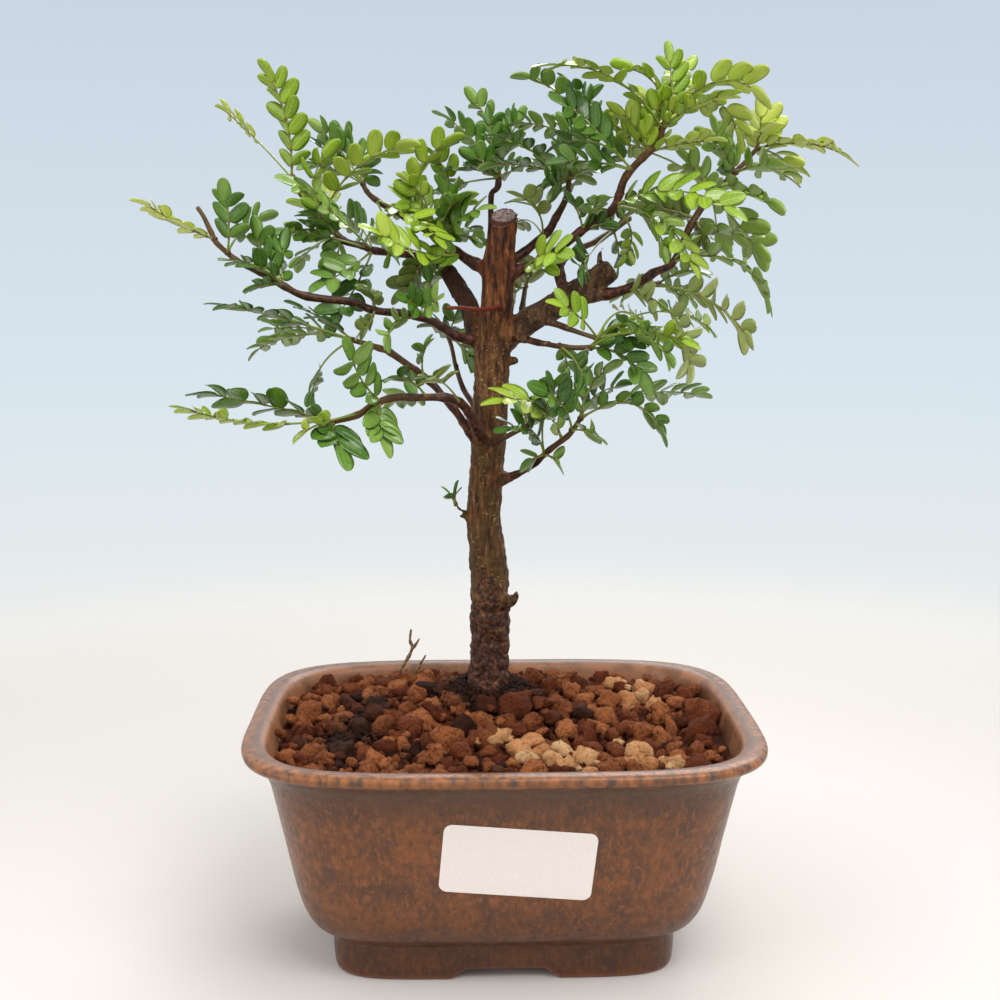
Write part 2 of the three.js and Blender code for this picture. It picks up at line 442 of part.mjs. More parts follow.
// A leaf as one thin arched blade cut to its rib. Corners are worked out as [across, along],
// folded up from the rib, and each face is split into the same triangles.
function makeLeaf(spray, leaf, swing, extra = 0) {
  const course = rib(spray, leaf, swing);
  const [, , , , , pairsWanted, length] = leaf;
  const chord = course(1).point.distanceTo(course(0).point);
  const pairs = pairsWanted < 4 ? 1 : MOST_PAIRS;
  const ribHalf = RIB_WIDTH / 2 + extra / 2;
  const lobeHalf = (length * LEAFLET_SLIMNESS) / 2 + extra;
  const ribEnd = chord - length * 0.8;
  const firstPair = Math.min(0.42 * ribEnd, chord * 0.35);
  const folded = THREE.MathUtils.degToRad(FOLD);
  const lean = THREE.MathUtils.degToRad(LEAFLET_LEAN);
  const corners = [];
  const faces = [];
  function corner(across, along) {
    corners.push([across, along]);
    return corners.length - 1;
  }
  function leaflet(fromLeft, fromRight, x, y, dirX, dirY) {
    const reach = length + extra;
    const spots = [[0.55, -lobeHalf], [1, 0], [0.55, lobeHalf]];
    const ids = spots.map(([share, off]) => corner(x + dirX * reach * share - dirY * off,
      y + dirY * reach * share + dirX * off));
    faces.push([fromLeft, fromRight, ids[0]], [fromLeft, ids[0], ids[2]], [ids[2], ids[0], ids[1]]);
  }
  let low = [corner(-ribHalf, 0), corner(ribHalf, 0)];
  function ribTo(along) {
    const high = [corner(-ribHalf, along), corner(ribHalf, along)];
    faces.push([low[0], low[1], high[1]], [low[0], high[1], high[0]]);
    const passed = [low, high];
    low = high;
    return passed;
  }
  const rootHalf = 0.55 * lobeHalf;
  const lastPair = ribEnd - rootHalf;
  for (let pair = 0; pair < pairs; pair += 1) {
    const along = pairs > 1 ? firstPair + ((lastPair - firstPair) * pair) / (pairs - 1) : lastPair;
    ribTo(along - rootHalf);
    const [under, over] = ribTo(along + rootHalf);
    leaflet(over[1], under[1], ribHalf, along, Math.cos(lean), Math.sin(lean));
    leaflet(under[0], over[0], -ribHalf, along, -Math.cos(lean), Math.sin(lean));
  }
  leaflet(low[0], low[1], 0, ribEnd, 0, 1);

  // Both faces, then the edge wherever a side belongs to one triangle only
  const half = (BLADE_THICKNESS + extra) / 2;
  const points = [];
  for (const face of [half, -half]) {
    for (const [across, along] of corners) {
      const { point, span, face: up } = course(Math.min(along / chord, 1.15));
      const rise = Math.abs(across) * Math.sin(folded);
      const place = point.clone();
      place.addScaledVector(span, across * Math.cos(folded));
      place.addScaledVector(up, rise + face);
      points.push([place.x, place.y, place.z]);
    }
  }
  const used = new Map();
  for (const [one, two, three] of faces) {
    for (const [from, to] of [[one, two], [two, three], [three, one]]) {
      used.set(`${from},${to}`, [from, to]);
    }
  }
  const shift = corners.length;
  const skin = [];
  for (const [one, two, three] of faces) {
    skin.push([one, two, three], [one + shift, three + shift, two + shift]);
  }
  for (const [from, to] of used.values()) {
    if (!used.has(`${to},${from}`)) {
      skin.push([from + shift, to + shift, to], [from + shift, to, from]);
    }
  }
  const blade = solidOf(indexed(points, skin));
  return blade.volume() > 0 ? blade : solidOf(indexed(points, skin.map(([a, b, c]) => [a, c, b])));
}

// Each leaf takes the first swing that keeps it whole, and clear of the wood and of the sprays
// already there.
function makeSprays(woodAround) {
  const done = [];
  for (const [name, spray] of Object.entries(SPRAYS)) {
    const { x, y, z } = budOf(spray);
    const crossing = (one) => done.reduce((sum, other) => sum + one.intersect(other.solid).volume(), 0);
    let solid = solidOf(new THREE.OctahedronGeometry(BUD_RADIUS, 0).translate(x, y, z)).subtract(woodAround);
    for (const leaf of spray[4]) {
      let best = null;
      for (const swing of SWINGS) {
        const blade = makeLeaf(spray, leaf, swing);
        const around = makeLeaf(spray, leaf, swing, 2 * GAP);
        const fault = blade.intersect(woodAround).volume() + crossing(around);
        if (best === null || fault < best.fault - 1e-3) {
          best = { fault, blade, swing };
        }
        if (fault < 1e-3) {
          break;
        }
      }
      solid = mainBody(solid.add(best.blade.subtract(woodAround)));
    }
    done.push({ name, tone: spray[0], solid });
  }
  return done;
}

// Soil: the pot's inside filled to the brim, mounded round the trunk, with lumps of clay on top
function insideOfPot(top) {
  const rows = [...POT_INSIDE].reverse();
  const rings = rows.map((row) => section(row, GAP));
  rings[0] = rings[0].map(([x, y, z]) => [x, y, z + GAP]);
  const [halfWidth, , squareness] = rows[rows.length - 1];
  rings.push(section([halfWidth, POT_HEIGHT + 30, squareness], GAP));
  return solidOf(loft(rings)).intersect(box(200, 200, top, 0, 0, top / 2));
}

function soilTop(x, y) {
  const away = ((x - TREE_X) / 34) ** 2 + ((y - TREE_Y) / 27) ** 2;
  return SOIL_EDGE + MOUND_RISE * Math.exp(-away);
}

function makeSoil(roots) {
  const brim = insideOfPot(SOIL_EDGE);
  const shares = [1.6, 1.25, 0.95, 0.65, 0.35];
  const rings = shares.map((share) => {
    const ring = [];
    for (let side = 0; side < 16; side += 1) {
      const turn = (side / 16) * 2 * Math.PI;
      const x = TREE_X + 34 * share * Math.cos(turn);
      const y = TREE_Y + 27 * share * Math.sin(turn);
      ring.push([x, y, soilTop(x, y) - (share > 1.5 ? 2 : 0)]);
    }
    return ring;
  });
  let soil = brim.add(solidOf(loft(rings)));
  const draw = drawer(LUMP_SEED);
  for (let lump = 0; lump < LUMP_COUNT; lump += 1) {
    const size = draw(SMALLEST_LUMP, LARGEST_LUMP);
    const x = draw(-66, 66);
    const y = draw(-51, 51);
    const shape = new THREE.IcosahedronGeometry(size, 0);
    shape.scale(draw(0.85, 1.2), draw(0.85, 1.2), draw(0.7, 0.95));
    shape.rotateX(draw(0, 3)).rotateZ(draw(0, 6));
    soil = soil.add(solidOf(shape.translate(x, y, soilTop(x, y) + size * draw(-0.25, 0.15))));
  }
  soil = soil.intersect(insideOfPot(SOIL_EDGE + 25));
  for (const x of [-DRAIN_X, DRAIN_X]) {
    const room = NET_SIZE + 2 * GAP;
    soil = soil.subtract(box(room, room, 2 * (NET_THICKNESS + 2 * GAP), x, 0, FLOOR_TOP));
  }
  return mainBody(soil.subtract(roots).simplify(SMALLEST_EDGE));
}

// Flat plastic nets over the drain holes, under the soil
function makeNet(x) {
  let net = box(NET_SIZE, NET_SIZE, NET_THICKNESS, x, 0, FLOOR_TOP + GAP + NET_THICKNESS / 2);
  for (const across of [-1, 1]) {
    for (const along of [-1, 1]) {
      const middleX = x + across * NET_OPENING;
      net = net.subtract(box(NET_OPENING, NET_OPENING, 60, middleX, along * NET_OPENING, 0));
    }
  }
  return net;
}

// A bare label that follows the front wall
function makeLabel() {
  const corner = new THREE.Shape();
  const halfWidth = LABEL_WIDTH / 2;
  const halfHeight = LABEL_HEIGHT / 2;
  const round = LABEL_CORNER;
  corner.absarc(halfWidth - round, halfHeight - round, round, 0, Math.PI / 2);
  corner.absarc(round - halfWidth, halfHeight - round, round, Math.PI / 2, Math.PI);
  corner.absarc(round - halfWidth, round - halfHeight, round, Math.PI, 1.5 * Math.PI);
  corner.absarc(halfWidth - round, round - halfHeight, round, 1.5 * Math.PI, 2 * Math.PI);
  const block = new THREE.ExtrudeGeometry(corner, { depth: 60, bevelEnabled: false, curveSegments: 3 });
  block.rotateZ(-THREE.MathUtils.degToRad(LABEL_TILT)).rotateX(Math.PI / 2).translate(LABEL_X, -10, LABEL_Z);
  const outer = solidOf(loft(POT_OUTSIDE.map((row) => section(row, -GAP - LABEL_THICKNESS))));
  const inner = solidOf(loft(POT_OUTSIDE.map((row) => section(row, -GAP))));
  return mainBody(solidOf(block).intersect(outer).subtract(inner));
}

// A dry forked sprig standing in the soil by the back wall, in rows of [x, z, y, radius]
const SPRIG = [
  [[-31.8, 71, 46, 1], [-31.6, 80, 46, 0.95], [-28.6, 85, 45, 0.9], [-27, 88.6, 45, 0.85],
    [-27.3, 94.2, 45, 0.55]],
  [[-27.4, 87.6, 45, 0.8], [-26, 89.6, 44.5, 0.7], [-24.9, 91.1, 44, 0.5]],
];
const SPRIG_HOLE = [[-31.85, 69.5, 46, 1], [-31.8, 71, 46, 1], [-31.6, 80, 46, 1], [-31.4, 88, 46, 1]];

// Finishes, and the named meshes
const FINISHES = {
  glaze: [0x9a6238, 0.3],
  soil: [0x7d5a3c, 0.95],
  bark: [0x7a5230, 0.75],
  label: [0xeeeae2, 0.5],
  dry: [0x5a4634, 0.9],
  net: [0x20242a, 0.6],
  young: [0x86b02c, 0.4],
  mature: [0x3f7a2c, 0.35],
  olive: [0x5c6f38, 0.5],
};
const group = new THREE.Group();
group.name = 'chinesePepperBonsai';

function place(name, finish, solid) {
  const [color, roughness] = FINISHES[finish];
  const material = new THREE.MeshStandardMaterial({ color, roughness, name: finish });
  const mesh = new THREE.Mesh(geometryOf(solid), material);
  mesh.name = name;
  group.add(mesh);
}

const woodAround = makeWood(GAP);
const stump = tube([[-3.9, 41.4, 20, 10.6], ...TRUNK.slice(0, 8)], 10, GAP);
const sprigHole = tube(SPRIG_HOLE, 8, GAP);
place('pot', 'glaze', makePot());
place('soil', 'soil', makeSoil(stump.add(sprigHole)));
place('wood', 'bark', makeWood());
place('drySprig', 'dry', SPRIG.map((rows) => tube(rows, 5)).reduce((whole, part) => whole.add(part)));
place('drainNetLeft', 'net', makeNet(-DRAIN_X));
place('drainNetRight', 'net', makeNet(DRAIN_X));
place('label', 'label', makeLabel());
for (const { name, tone, solid } of makeSprays(woodAround)) {
  place(`spray_${name}`, tone, solid);
}

export default group;
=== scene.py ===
"""A Chinese pepper bonsai in its glazed oblong pot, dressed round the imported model.

Sizes are in millimetres until a surface becomes a mesh. +Z is up, -Y is the front, and the
origin is the middle of the pot's footprint on the surface that it stands on.
"""

from __future__ import annotations

import json
import logging
import math
from dataclasses import dataclass, field
from enum import Enum

import bpy
import numpy as np
from mathutils import Matrix

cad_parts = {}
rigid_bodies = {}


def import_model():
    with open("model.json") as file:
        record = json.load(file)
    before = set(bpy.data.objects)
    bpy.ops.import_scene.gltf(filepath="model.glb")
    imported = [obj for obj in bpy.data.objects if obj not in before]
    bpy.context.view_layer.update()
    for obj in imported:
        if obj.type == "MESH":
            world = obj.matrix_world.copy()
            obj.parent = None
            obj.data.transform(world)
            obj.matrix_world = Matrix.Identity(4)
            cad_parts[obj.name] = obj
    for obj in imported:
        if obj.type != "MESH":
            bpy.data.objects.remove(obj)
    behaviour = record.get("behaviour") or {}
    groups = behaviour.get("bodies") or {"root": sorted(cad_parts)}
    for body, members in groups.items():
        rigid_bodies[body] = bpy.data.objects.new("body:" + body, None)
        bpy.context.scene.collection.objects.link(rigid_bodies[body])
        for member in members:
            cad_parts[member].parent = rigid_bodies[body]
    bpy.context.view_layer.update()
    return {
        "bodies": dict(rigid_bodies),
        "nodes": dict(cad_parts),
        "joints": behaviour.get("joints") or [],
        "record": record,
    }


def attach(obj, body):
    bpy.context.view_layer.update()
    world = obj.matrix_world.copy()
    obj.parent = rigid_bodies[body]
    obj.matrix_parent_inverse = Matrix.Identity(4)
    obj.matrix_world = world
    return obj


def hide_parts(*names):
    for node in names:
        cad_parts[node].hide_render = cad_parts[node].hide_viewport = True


Array = np.ndarray
Socket = bpy.types.NodeSocket
Row = tuple[float, ...]
Colour = tuple[int, int, int]
Stops = tuple[tuple[float, Colour], ...]
LOG = logging.getLogger("bonsai")
METRES = 0.001

# The eye that the tree is set out from, as in the solid model
EYE = np.array([-14.0, -419.8, 201.0])
HEADING = math.radians(1.8)
PITCH = math.radians(9.15)
ROLL = math.radians(0.1)
LENS = 52.0


def seen(place: Array) -> Array:
    """Slides points along the line of sight from the upright middle plane to their depth.

    Args:
        place: rows whose first three columns are x and z on the plane y = 0, and the depth y.

    Returns:
        The points in space, each the eye plus the sight line times (y - eye y) / -(eye y).
    """
    place = np.asarray(place, float)
    reach = (place[..., 2] - EYE[1]) / -EYE[1]
    x = EYE[0] + (place[..., 0] - EYE[0]) * reach
    z = EYE[2] + (place[..., 1] - EYE[2]) * reach
    return np.stack([x, place[..., 2], z], -1)


def unit(vectors: Array) -> Array:
    """Vectors divided by their lengths."""
    return vectors / np.maximum(np.linalg.norm(vectors, axis=-1, keepdims=True), 1e-9)


def eased(value: Array) -> Array:
    """A smooth step from 0 to 1: three times the square less twice the cube."""
    value = np.clip(value, 0.0, 1.0)
    return value * value * (3.0 - 2.0 * value)


def smoothed(rows: Array, steps: int) -> Array:
    """Rows joined by a Catmull-Rom curve, each span cut into equal steps.

    Args:
        rows: rows of numbers.
        steps: the steps in each span.

    Returns:
        The rows with those between.
    """
    rows = np.asarray(rows, float)
    padded = np.concatenate([2 * rows[:1] - rows[1:2], rows, 2 * rows[-1:] - rows[-2:-1]])
    share = np.linspace(0.0, 1.0, steps, endpoint=False)[:, None, None]
    one, two, three, four = padded[:-3], padded[1:-2], padded[2:-1], padded[3:]
    curve = 0.5 * (
        2 * two
        + (three - one) * share
        + (2 * one - 5 * two + 4 * three - four) * share**2
        + (3 * two - one - 3 * three + four) * share**3
    )
    joined = curve.transpose(1, 0, 2).reshape(-1, rows.shape[1])
    return np.concatenate([joined, rows[-1:]])


class Unevenness:
    """Smooth random unevenness in space: seeded values on a lattice, eased between cells."""

    CELLS = 32

    def __init__(self, seed: int) -> None:
        """Draws the lattice from a seed."""
        self.lattice = np.random.default_rng(seed).uniform(-1.0, 1.0, (self.CELLS,) * 3)

    def at(self, points: Array, size: float | Row) -> Array:
        """The unevenness at points.

        Args:
            points: places in millimetres.
            size: width of a cell, one number or one for each axis.

        Returns:
            A value from -1 to 1 for each point, blended from the eight corners of its cell.
        """
        scaled = points / np.asarray(size, float)
        low = np.floor(scaled).astype(int)
        share = eased(scaled - low)
        total = np.zeros(points.shape[:-1])
        for corner in np.ndindex(2, 2, 2):
            index = (low + corner) % self.CELLS
            weight = np.prod(np.where(corner, share, 1.0 - share), axis=-1)
            total += weight * self.lattice[index[..., 0], index[..., 1], index[..., 2]]
        return total


@dataclass
class Skin:
    """Closed surfaces gathered for one piece, with the values that its finish reads."""

    points: list[Array] = field(default_factory=list)
    faces: list[Array] = field(default_factory=list)
    values: dict[str, list[Array]] = field(default_factory=dict)
    count: int = 0

    def add(self, rings: Array, **values: Array | float) -> None:
        """Adds closed surfaces, each skinned over a stack of rings and closed by a point at each end.

        Args:
            rings: corners as (surface, ring, corner, 3), or without the first axis for one.
            values: numbers for the finish, spread to (surface, ring, corner).
        """
        if rings.ndim == 3:
            rings = rings[None]
            values = {
                name: np.asarray(value)[None] if np.ndim(value) > 1 else value
                for name, value in values.items()
            }
        many, levels, sides = rings.shape[:3]
        size = levels * sides
        level, side = np.meshgrid(np.arange(levels - 1), np.arange(sides), indexing="ij")
        low, low_next = level * sides + side, level * sides + (side + 1) % sides
        walls = np.stack([low, low_next, low_next + sides, low + sides], -1).reshape(-1, 4)
        edge = np.arange(sides)
        after = (edge + 1) % sides
        last = size - sides
        foot = np.stack([after, edge, np.full(sides, size), np.full(sides, -1)], -1)
        head = np.stack([last + edge, last + after, np.full(sides, size + 1), np.full(sides, -1)], -1)
        shape = np.concatenate([walls, foot, head])
        ends = rings[:, [0, -1]].mean(axis=2)
        points = np.concatenate([rings.reshape(many, size, 3), ends], axis=1)
        turned = shape[:, [2, 1, 0, 3]].copy()
        turned[: len(walls)] = walls[:, ::-1]
        outward = self._volume(points, shape) > 0
        faces = np.where(outward[:, None, None], shape, turned)
        shift = (np.arange(many) * (size + 2) + self.count)[:, None, None]
        self.faces.append(np.where(faces < 0, -1, faces + shift).reshape(-1, 4))
        self.points.append(points.reshape(-1, 3))
        for name, value in values.items():
            spread = np.broadcast_to(value, (many, levels, sides))
            closed = np.concatenate([spread.reshape(many, size), spread[:, [0, -1]].mean(axis=2)], axis=1)
            self.values.setdefault(name, []).append(closed.reshape(-1))
        self.count += many * (size + 2)

    @staticmethod
    def _volume(points: Array, shape: Array) -> Array:
        """Six times the signed volume of each surface: the triangles' triple products, summed.

        Args:
            points: corners as (surface, corner, 3).
            shape: faces, with -1 where a triangle has no fourth corner.

        Returns:
            A number for each surface, above 0 where its faces point outwards.
        """
        a, b, c = (points[:, shape[:, k]] for k in range(3))
        total = np.einsum("nfk,nfk->n", a, np.cross(b, c))
        d = points[:, np.where(shape[:, 3] < 0, shape[:, 0], shape[:, 3])]
        return total + np.einsum("nfk,nfk->n", a, np.cross(c, d))

    def mesh(self, name: str) -> bpy.types.Mesh:
        """The gathered surfaces as one smooth mesh in metres, with its values as attributes.

        Args:
            name: the mesh's name.

        Returns:
            The mesh.
        """
        points = np.concatenate(self.points) * METRES
        faces = np.concatenate(self.faces)
        sizes = np.where(faces[:, 3] < 0, 3, 4)
        corners = faces[faces >= 0]
        mesh = bpy.data.meshes.new(name)
        mesh.vertices.add(len(points))
        mesh.vertices.foreach_set("co", points.ravel())
        mesh.loops.add(len(corners))
        mesh.loops.foreach_set("vertex_index", corners)
        mesh.polygons.add(len(faces))
        mesh.polygons.foreach_set("loop_start", np.concatenate([[0], np.cumsum(sizes)[:-1]]))
        mesh.polygons.foreach_set("use_smooth", np.ones(len(faces), bool))
        for key, parts in self.values.items():
            set_value(mesh, key, np.concatenate(parts))
        mesh.update(calc_edges=True)
        mesh.validate()
        return mesh


def set_value(mesh: bpy.types.Mesh, name: str, value: Array) -> None:
    """Gives each corner of a mesh a number for its finish to read."""
    layer = mesh.attributes.new(name, "FLOAT", "POINT")
    layer.data.foreach_set("value", value.astype(np.float32))


def set_corners(mesh: bpy.types.Mesh, corners: Array) -> None:
    """Moves a mesh's corners to places in millimetres."""
    mesh.vertices.foreach_set("co", (corners * METRES).astype(np.float32).ravel())
    mesh.update()


def oblong(count: int, squareness: Array | float) -> tuple[Array, Array]:
    """Rounded oblongs of half size 1: |x| and |y|, each to the squareness, sum to 1.

    Args:
        count: corners in each.
        squareness: 2 for an ellipse and more for a squarer one, a number or a column of them.

    Returns:
        x and y of the corners.
    """
    turn = (np.arange(count) + 0.5) / count * 2 * np.pi
    power = 2.0 / squareness
    x = np.sign(np.cos(turn)) * np.abs(np.cos(turn)) ** power
    y = np.sign(np.sin(turn)) * np.abs(np.sin(turn)) ** power
    return x, y


def tube(path: Array, radii: Array, sides: int) -> Array:
    """Rings round a path: each corner is the centre plus its radius along two square directions.

    Args:
        path: the centre line, (ring, 3).
        radii: the radius at each ring.
        sides: corners in a ring.

    Returns:
        The rings as (ring, corner, 3), turned by the axis that the path follows least.
    """
    ahead = unit(np.gradient(path, axis=0))
    least = np.eye(3)[np.abs(ahead).max(axis=0).argmin()]
    across = unit(np.cross(ahead, least))
    other = np.cross(ahead, across)
    turn = np.linspace(0.0, 2 * np.pi, sides, endpoint=False)
    ring = across[:, None] * np.cos(turn)[:, None] + other[:, None] * np.sin(turn)[:, None]
    return path[:, None] + ring * np.asarray(radii)[:, None, None]


def domed(path: Array, radii: Array, reach: float = 0.6, narrow: float = 0.5) -> tuple[Array, Array]:
    """Rounds a tube's ends off with one more, smaller ring at each.

    Args:
        path: the centre line, (ring, 3).
        radii: the radius at each ring.
        reach: how far on the new rings are, in radii.
        narrow: their size, as a share of the radius.

    Returns:
        The longer path and its radii.
    """
    start = path[:1] - unit(path[1:2] - path[:1]) * radii[0] * reach
    end = path[-1:] + unit(path[-1:] - path[-2:-1]) * radii[-1] * reach
    longer = np.concatenate([start, path, end])
    return longer, np.concatenate([radii[:1] * narrow, radii, radii[-1:] * narrow])


def linear(red: float, green: float, blue: float) -> Row:
    """A screen colour from 0 to 255 as the light values that a shader takes.

    Args:
        red: how red it is.
        green: how green it is.
        blue: how blue it is.

    Returns:
        Red, green, blue and 1 for opaque.
    """
    share = np.array([red, green, blue]) / 255.0
    light = np.where(share <= 0.04045, share / 12.92, ((share + 0.055) / 1.055) ** 2.4)
    return (*light.tolist(), 1.0)


def colour_ramp(tree: bpy.types.NodeTree, source: Socket, stops: Stops) -> Socket:
    """Screen colours read off a number.

    Args:
        tree: the nodes to add to.
        source: the number.
        stops: numbers from 0 to 1 with their colours, which are blended between them.

    Returns:
        The colour.
    """
    node = tree.nodes.new("ShaderNodeValToRGB")
    tree.links.new(source, node.inputs[0])
    elements = node.color_ramp.elements
    while len(elements) < len(stops):
        elements.new(0.5)
    for element, (position, colour) in zip(elements, stops):
        element.position = position
        element.color = linear(*colour)
    return node.outputs[0]


class Maths(Enum):
    """Ways of putting numbers together."""

    ADD = "ADD"
    SUBTRACT = "SUBTRACT"
    MULTIPLY = "MULTIPLY"
    MAXIMUM = "MAXIMUM"
    ABSOLUTE = "ABSOLUTE"
    SINE = "SINE"


class Paint:
    """A node-based material being put together round one shader, with colours as on a screen."""

    COAT_ROUGHNESS = 0.12

    def __init__(self, name: str, roughness: float, coat: float = 0.0, grip: float = 0.5) -> None:
        """Starts a material.

        Args:
            name: its name.
            roughness: how matt it is where nothing else says.
            coat: strength of a clear coat over it.
            grip: its specular level.
        """
        self.material = bpy.data.materials.new(name)
        self.material.use_nodes = True
        self.tree = self.material.node_tree
        self.shader = self.tree.nodes["Principled BSDF"]
        self.shader.inputs["Roughness"].default_value = roughness
        self.shader.inputs["Coat Weight"].default_value = coat
        self.shader.inputs["Coat Roughness"].default_value = self.COAT_ROUGHNESS
        self.shader.inputs["Specular IOR Level"].default_value = grip
        self.place = self.tree.nodes.new("ShaderNodeTexCoord").outputs["Object"]

    def _feed(self, socket: Socket, value: Socket | float | Colour) -> None:
        """Links one input, or sets it to a number or a screen colour.

        Args:
            socket: the input.
            value: what it gets.
        """
        if isinstance(value, bpy.types.NodeSocket):
            self.tree.links.new(value, socket)
        else:
            socket.default_value = linear(*value) if isinstance(value, tuple) else value

    def _node(self, kind: str, *inputs: Socket | float) -> bpy.types.Node:
        """A node with its first inputs linked or set.

        Args:
            kind: Blender's name for it.
            inputs: what its first inputs get.

        Returns:
            The node.
        """
        node = self.tree.nodes.new(kind)
        for socket, value in zip(node.inputs, inputs):
            self._feed(socket, value)
        return node

    def stretched(self, stretch: Row) -> Socket:
        """The object's own coordinates, multiplied along each axis.

        Args:
            stretch: the factor along each axis.

        Returns:
            The place.
        """
        node = self._node("ShaderNodeVectorMath", self.place)
        node.operation = "MULTIPLY"
        node.inputs[1].default_value = stretch
        return node.outputs[0]

    def height(self) -> Socket:
        """The height above the ground, in metres."""
        return self._node("ShaderNodeSeparateXYZ", self.place).outputs[2]

    def noise(
        self, size: float, detail: float = 3.0, rough: float = 0.55, where: Socket | None = None
    ) -> Socket:
        """Cloudy noise.

        Args:
            size: how wide its blotches are, in millimetres.
            detail: how many finer layers it has.
            rough: how strong those are.
            where: the place that it reads, or None for the object's own coordinates.

        Returns:
            A number from 0 to 1.
        """
        node = self._node("ShaderNodeTexNoise", where or self.place)
        node.inputs["Scale"].default_value = 1.0 / (size * METRES)
        node.inputs["Detail"].default_value = detail
        node.inputs["Roughness"].default_value = rough
        return node.outputs[0]

    def value(self, name: str) -> Socket:
        """A number that the mesh carries at its points.

        Args:
            name: the number's name on the mesh.

        Returns:
            The number.
        """
        node = self.tree.nodes.new("ShaderNodeAttribute")
        node.attribute_name = name
        return node.outputs["Fac"]

    def maths(self, how: Maths, one: Socket | float, other: Socket | float = 0.0) -> Socket:
        """Two numbers put together, or one changed where the way reads the first alone.

        Args:
            how: the way.
            one: the first.
            other: the second.

        Returns:
            The result.
        """
        node = self._node("ShaderNodeMath", one, other)
        node.operation = how.value
        return node.outputs[0]

    def plus(self, one: Socket | float, other: Socket | float) -> Socket:
        """The sum of two numbers."""
        return self.maths(Maths.ADD, one, other)

    def times(self, one: Socket | float, other: Socket | float) -> Socket:
        """The product of two numbers."""
        return self.maths(Maths.MULTIPLY, one, other)

    def span(
        self, source: Socket, low: float, high: float, start: float = 0.0, end: float = 1.0
    ) -> Socket:
        """A number carried smoothly from one span to another and held at its ends.

        Args:
            source: the number.
            low: where the first span starts.
            high: where it ends.
            start: what low becomes.
            end: what high becomes.

        Returns:
            The new number.
        """
        node = self._node("ShaderNodeMapRange", source, low, high, start, end)
        node.interpolation_type = "SMOOTHSTEP"
        return node.outputs[0]

    def ramp(self, source: Socket, stops: Stops) -> Socket:
        """Colours read off a number, blended between stops."""
        return colour_ramp(self.tree, source, stops)

    def over(self, share: Socket | float, below: Socket | Colour, above: Socket | Colour) -> Socket:
        """One colour laid over another by a share.

        Args:
            share: how much of the upper colour shows.
            below: the lower colour.
            above: the upper colour.

        Returns:
            The colour.
        """
        node = self.tree.nodes.new("ShaderNodeMix")
        node.data_type = "RGBA"
        self._feed(node.inputs[0], share)
        self._feed(node.inputs[6], below)
        self._feed(node.inputs[7], above)
        return node.outputs[2]

    def finish(
        self, colour: Socket, relief: Socket, depth: float, roughness: Socket | None = None
    ) -> bpy.types.Material:
        """Feeds the shader.

        Args:
            colour: the base colour.
            relief: the fine relief, from 0 to 1.
            depth: how deep that relief is, in millimetres.
            roughness: roughness over the surface, where it varies.

        Returns:
            The finished material.
        """
        bump = self.tree.nodes.new("ShaderNodeBump")
        bump.inputs["Strength"].default_value = 1.0
        bump.inputs["Distance"].default_value = depth * METRES
        self._feed(bump.inputs["Height"], relief)
        self._feed(self.shader.inputs["Base Color"], colour)
        self._feed(self.shader.inputs["Normal"], bump.outputs[0])
        if roughness is not None:
            self._feed(self.shader.inputs["Roughness"], roughness)
        return self.material


@dataclass(frozen=True)
class Glaze:
    """Mottled brown glaze: greyer under the lip, darkened at the foot by painted shade, over red-brown
    clay.
    """

    band_from: float = 0.05
    band_to: float = 0.064
    foot_from: float = 0.008
    foot_to: float = 0.032
    relief: float = 0.35

    BODY = ((0.34, (86, 55, 39)), (0.5, (107, 65, 37)), (0.66, (126, 75, 37)))
    LIP = ((0.34, (80, 62, 54)), (0.44, (116, 74, 46)), (0.66, (158, 98, 56)))

    def build(self) -> bpy.types.Material:
        """Blotches of orange over brown, fine dark specks, and bands by height.

        Returns:
            The material.
        """
        paint = Paint("glaze", 0.36, coat=0.2, grip=0.28)
        height = paint.height()
        cloud = paint.noise(9.0, detail=5.0, rough=0.62)
        fleck = paint.noise(1.5, detail=6.0, rough=0.74, where=paint.stretched((1.0, 1.0, 0.55)))
        speck = paint.noise(0.5, detail=2.0, rough=0.6)
        streak = paint.noise(2.2, detail=4.0, where=paint.stretched((1.0, 1.0, 0.35)))
        rim = paint.value("rim")
        colour = paint.ramp(cloud, self.BODY)
        colour = paint.over(paint.span(fleck, 0.5, 0.62, 0.0, 0.75), colour, (140, 86, 50))
        colour = paint.over(paint.span(fleck, 0.36, 0.47, 0.8, 0.0), colour, (72, 54, 48))
        colour = paint.over(paint.span(speck, 0.6, 0.7, 0.0, 0.4), colour, (88, 84, 90))
        band = paint.span(height, self.band_from, self.band_to)
        band = paint.times(band, paint.span(cloud, 0.3, 0.62, 0.35, 1.0))
        colour = paint.over(paint.times(band, 0.8), colour, (74, 57, 45))
        # painted shade: the glaze is darkened towards the foot, under the inward curve of the bowl
        shade = paint.span(height, self.foot_from, self.foot_to, 0.55, 0.0)
        colour = paint.over(shade, colour, (48, 22, 8))
        colour = paint.over(rim, colour, paint.ramp(streak, self.LIP))
        inner = paint.over(paint.span(cloud, 0.4, 0.6), (158, 108, 76), (126, 86, 60))
        colour = paint.over(paint.value("inner"), colour, inner)
        clay = paint.over(fleck, (104, 52, 36), (142, 84, 62))
        colour = paint.over(paint.value("bare"), colour, clay)
        relief = paint.plus(paint.times(fleck, 0.5), paint.times(speck, 0.3))
        rough = paint.plus(paint.span(fleck, 0.3, 0.7, 0.42, 0.3), paint.times(rim, -0.12))
        return paint.finish(colour, relief, self.relief, rough)


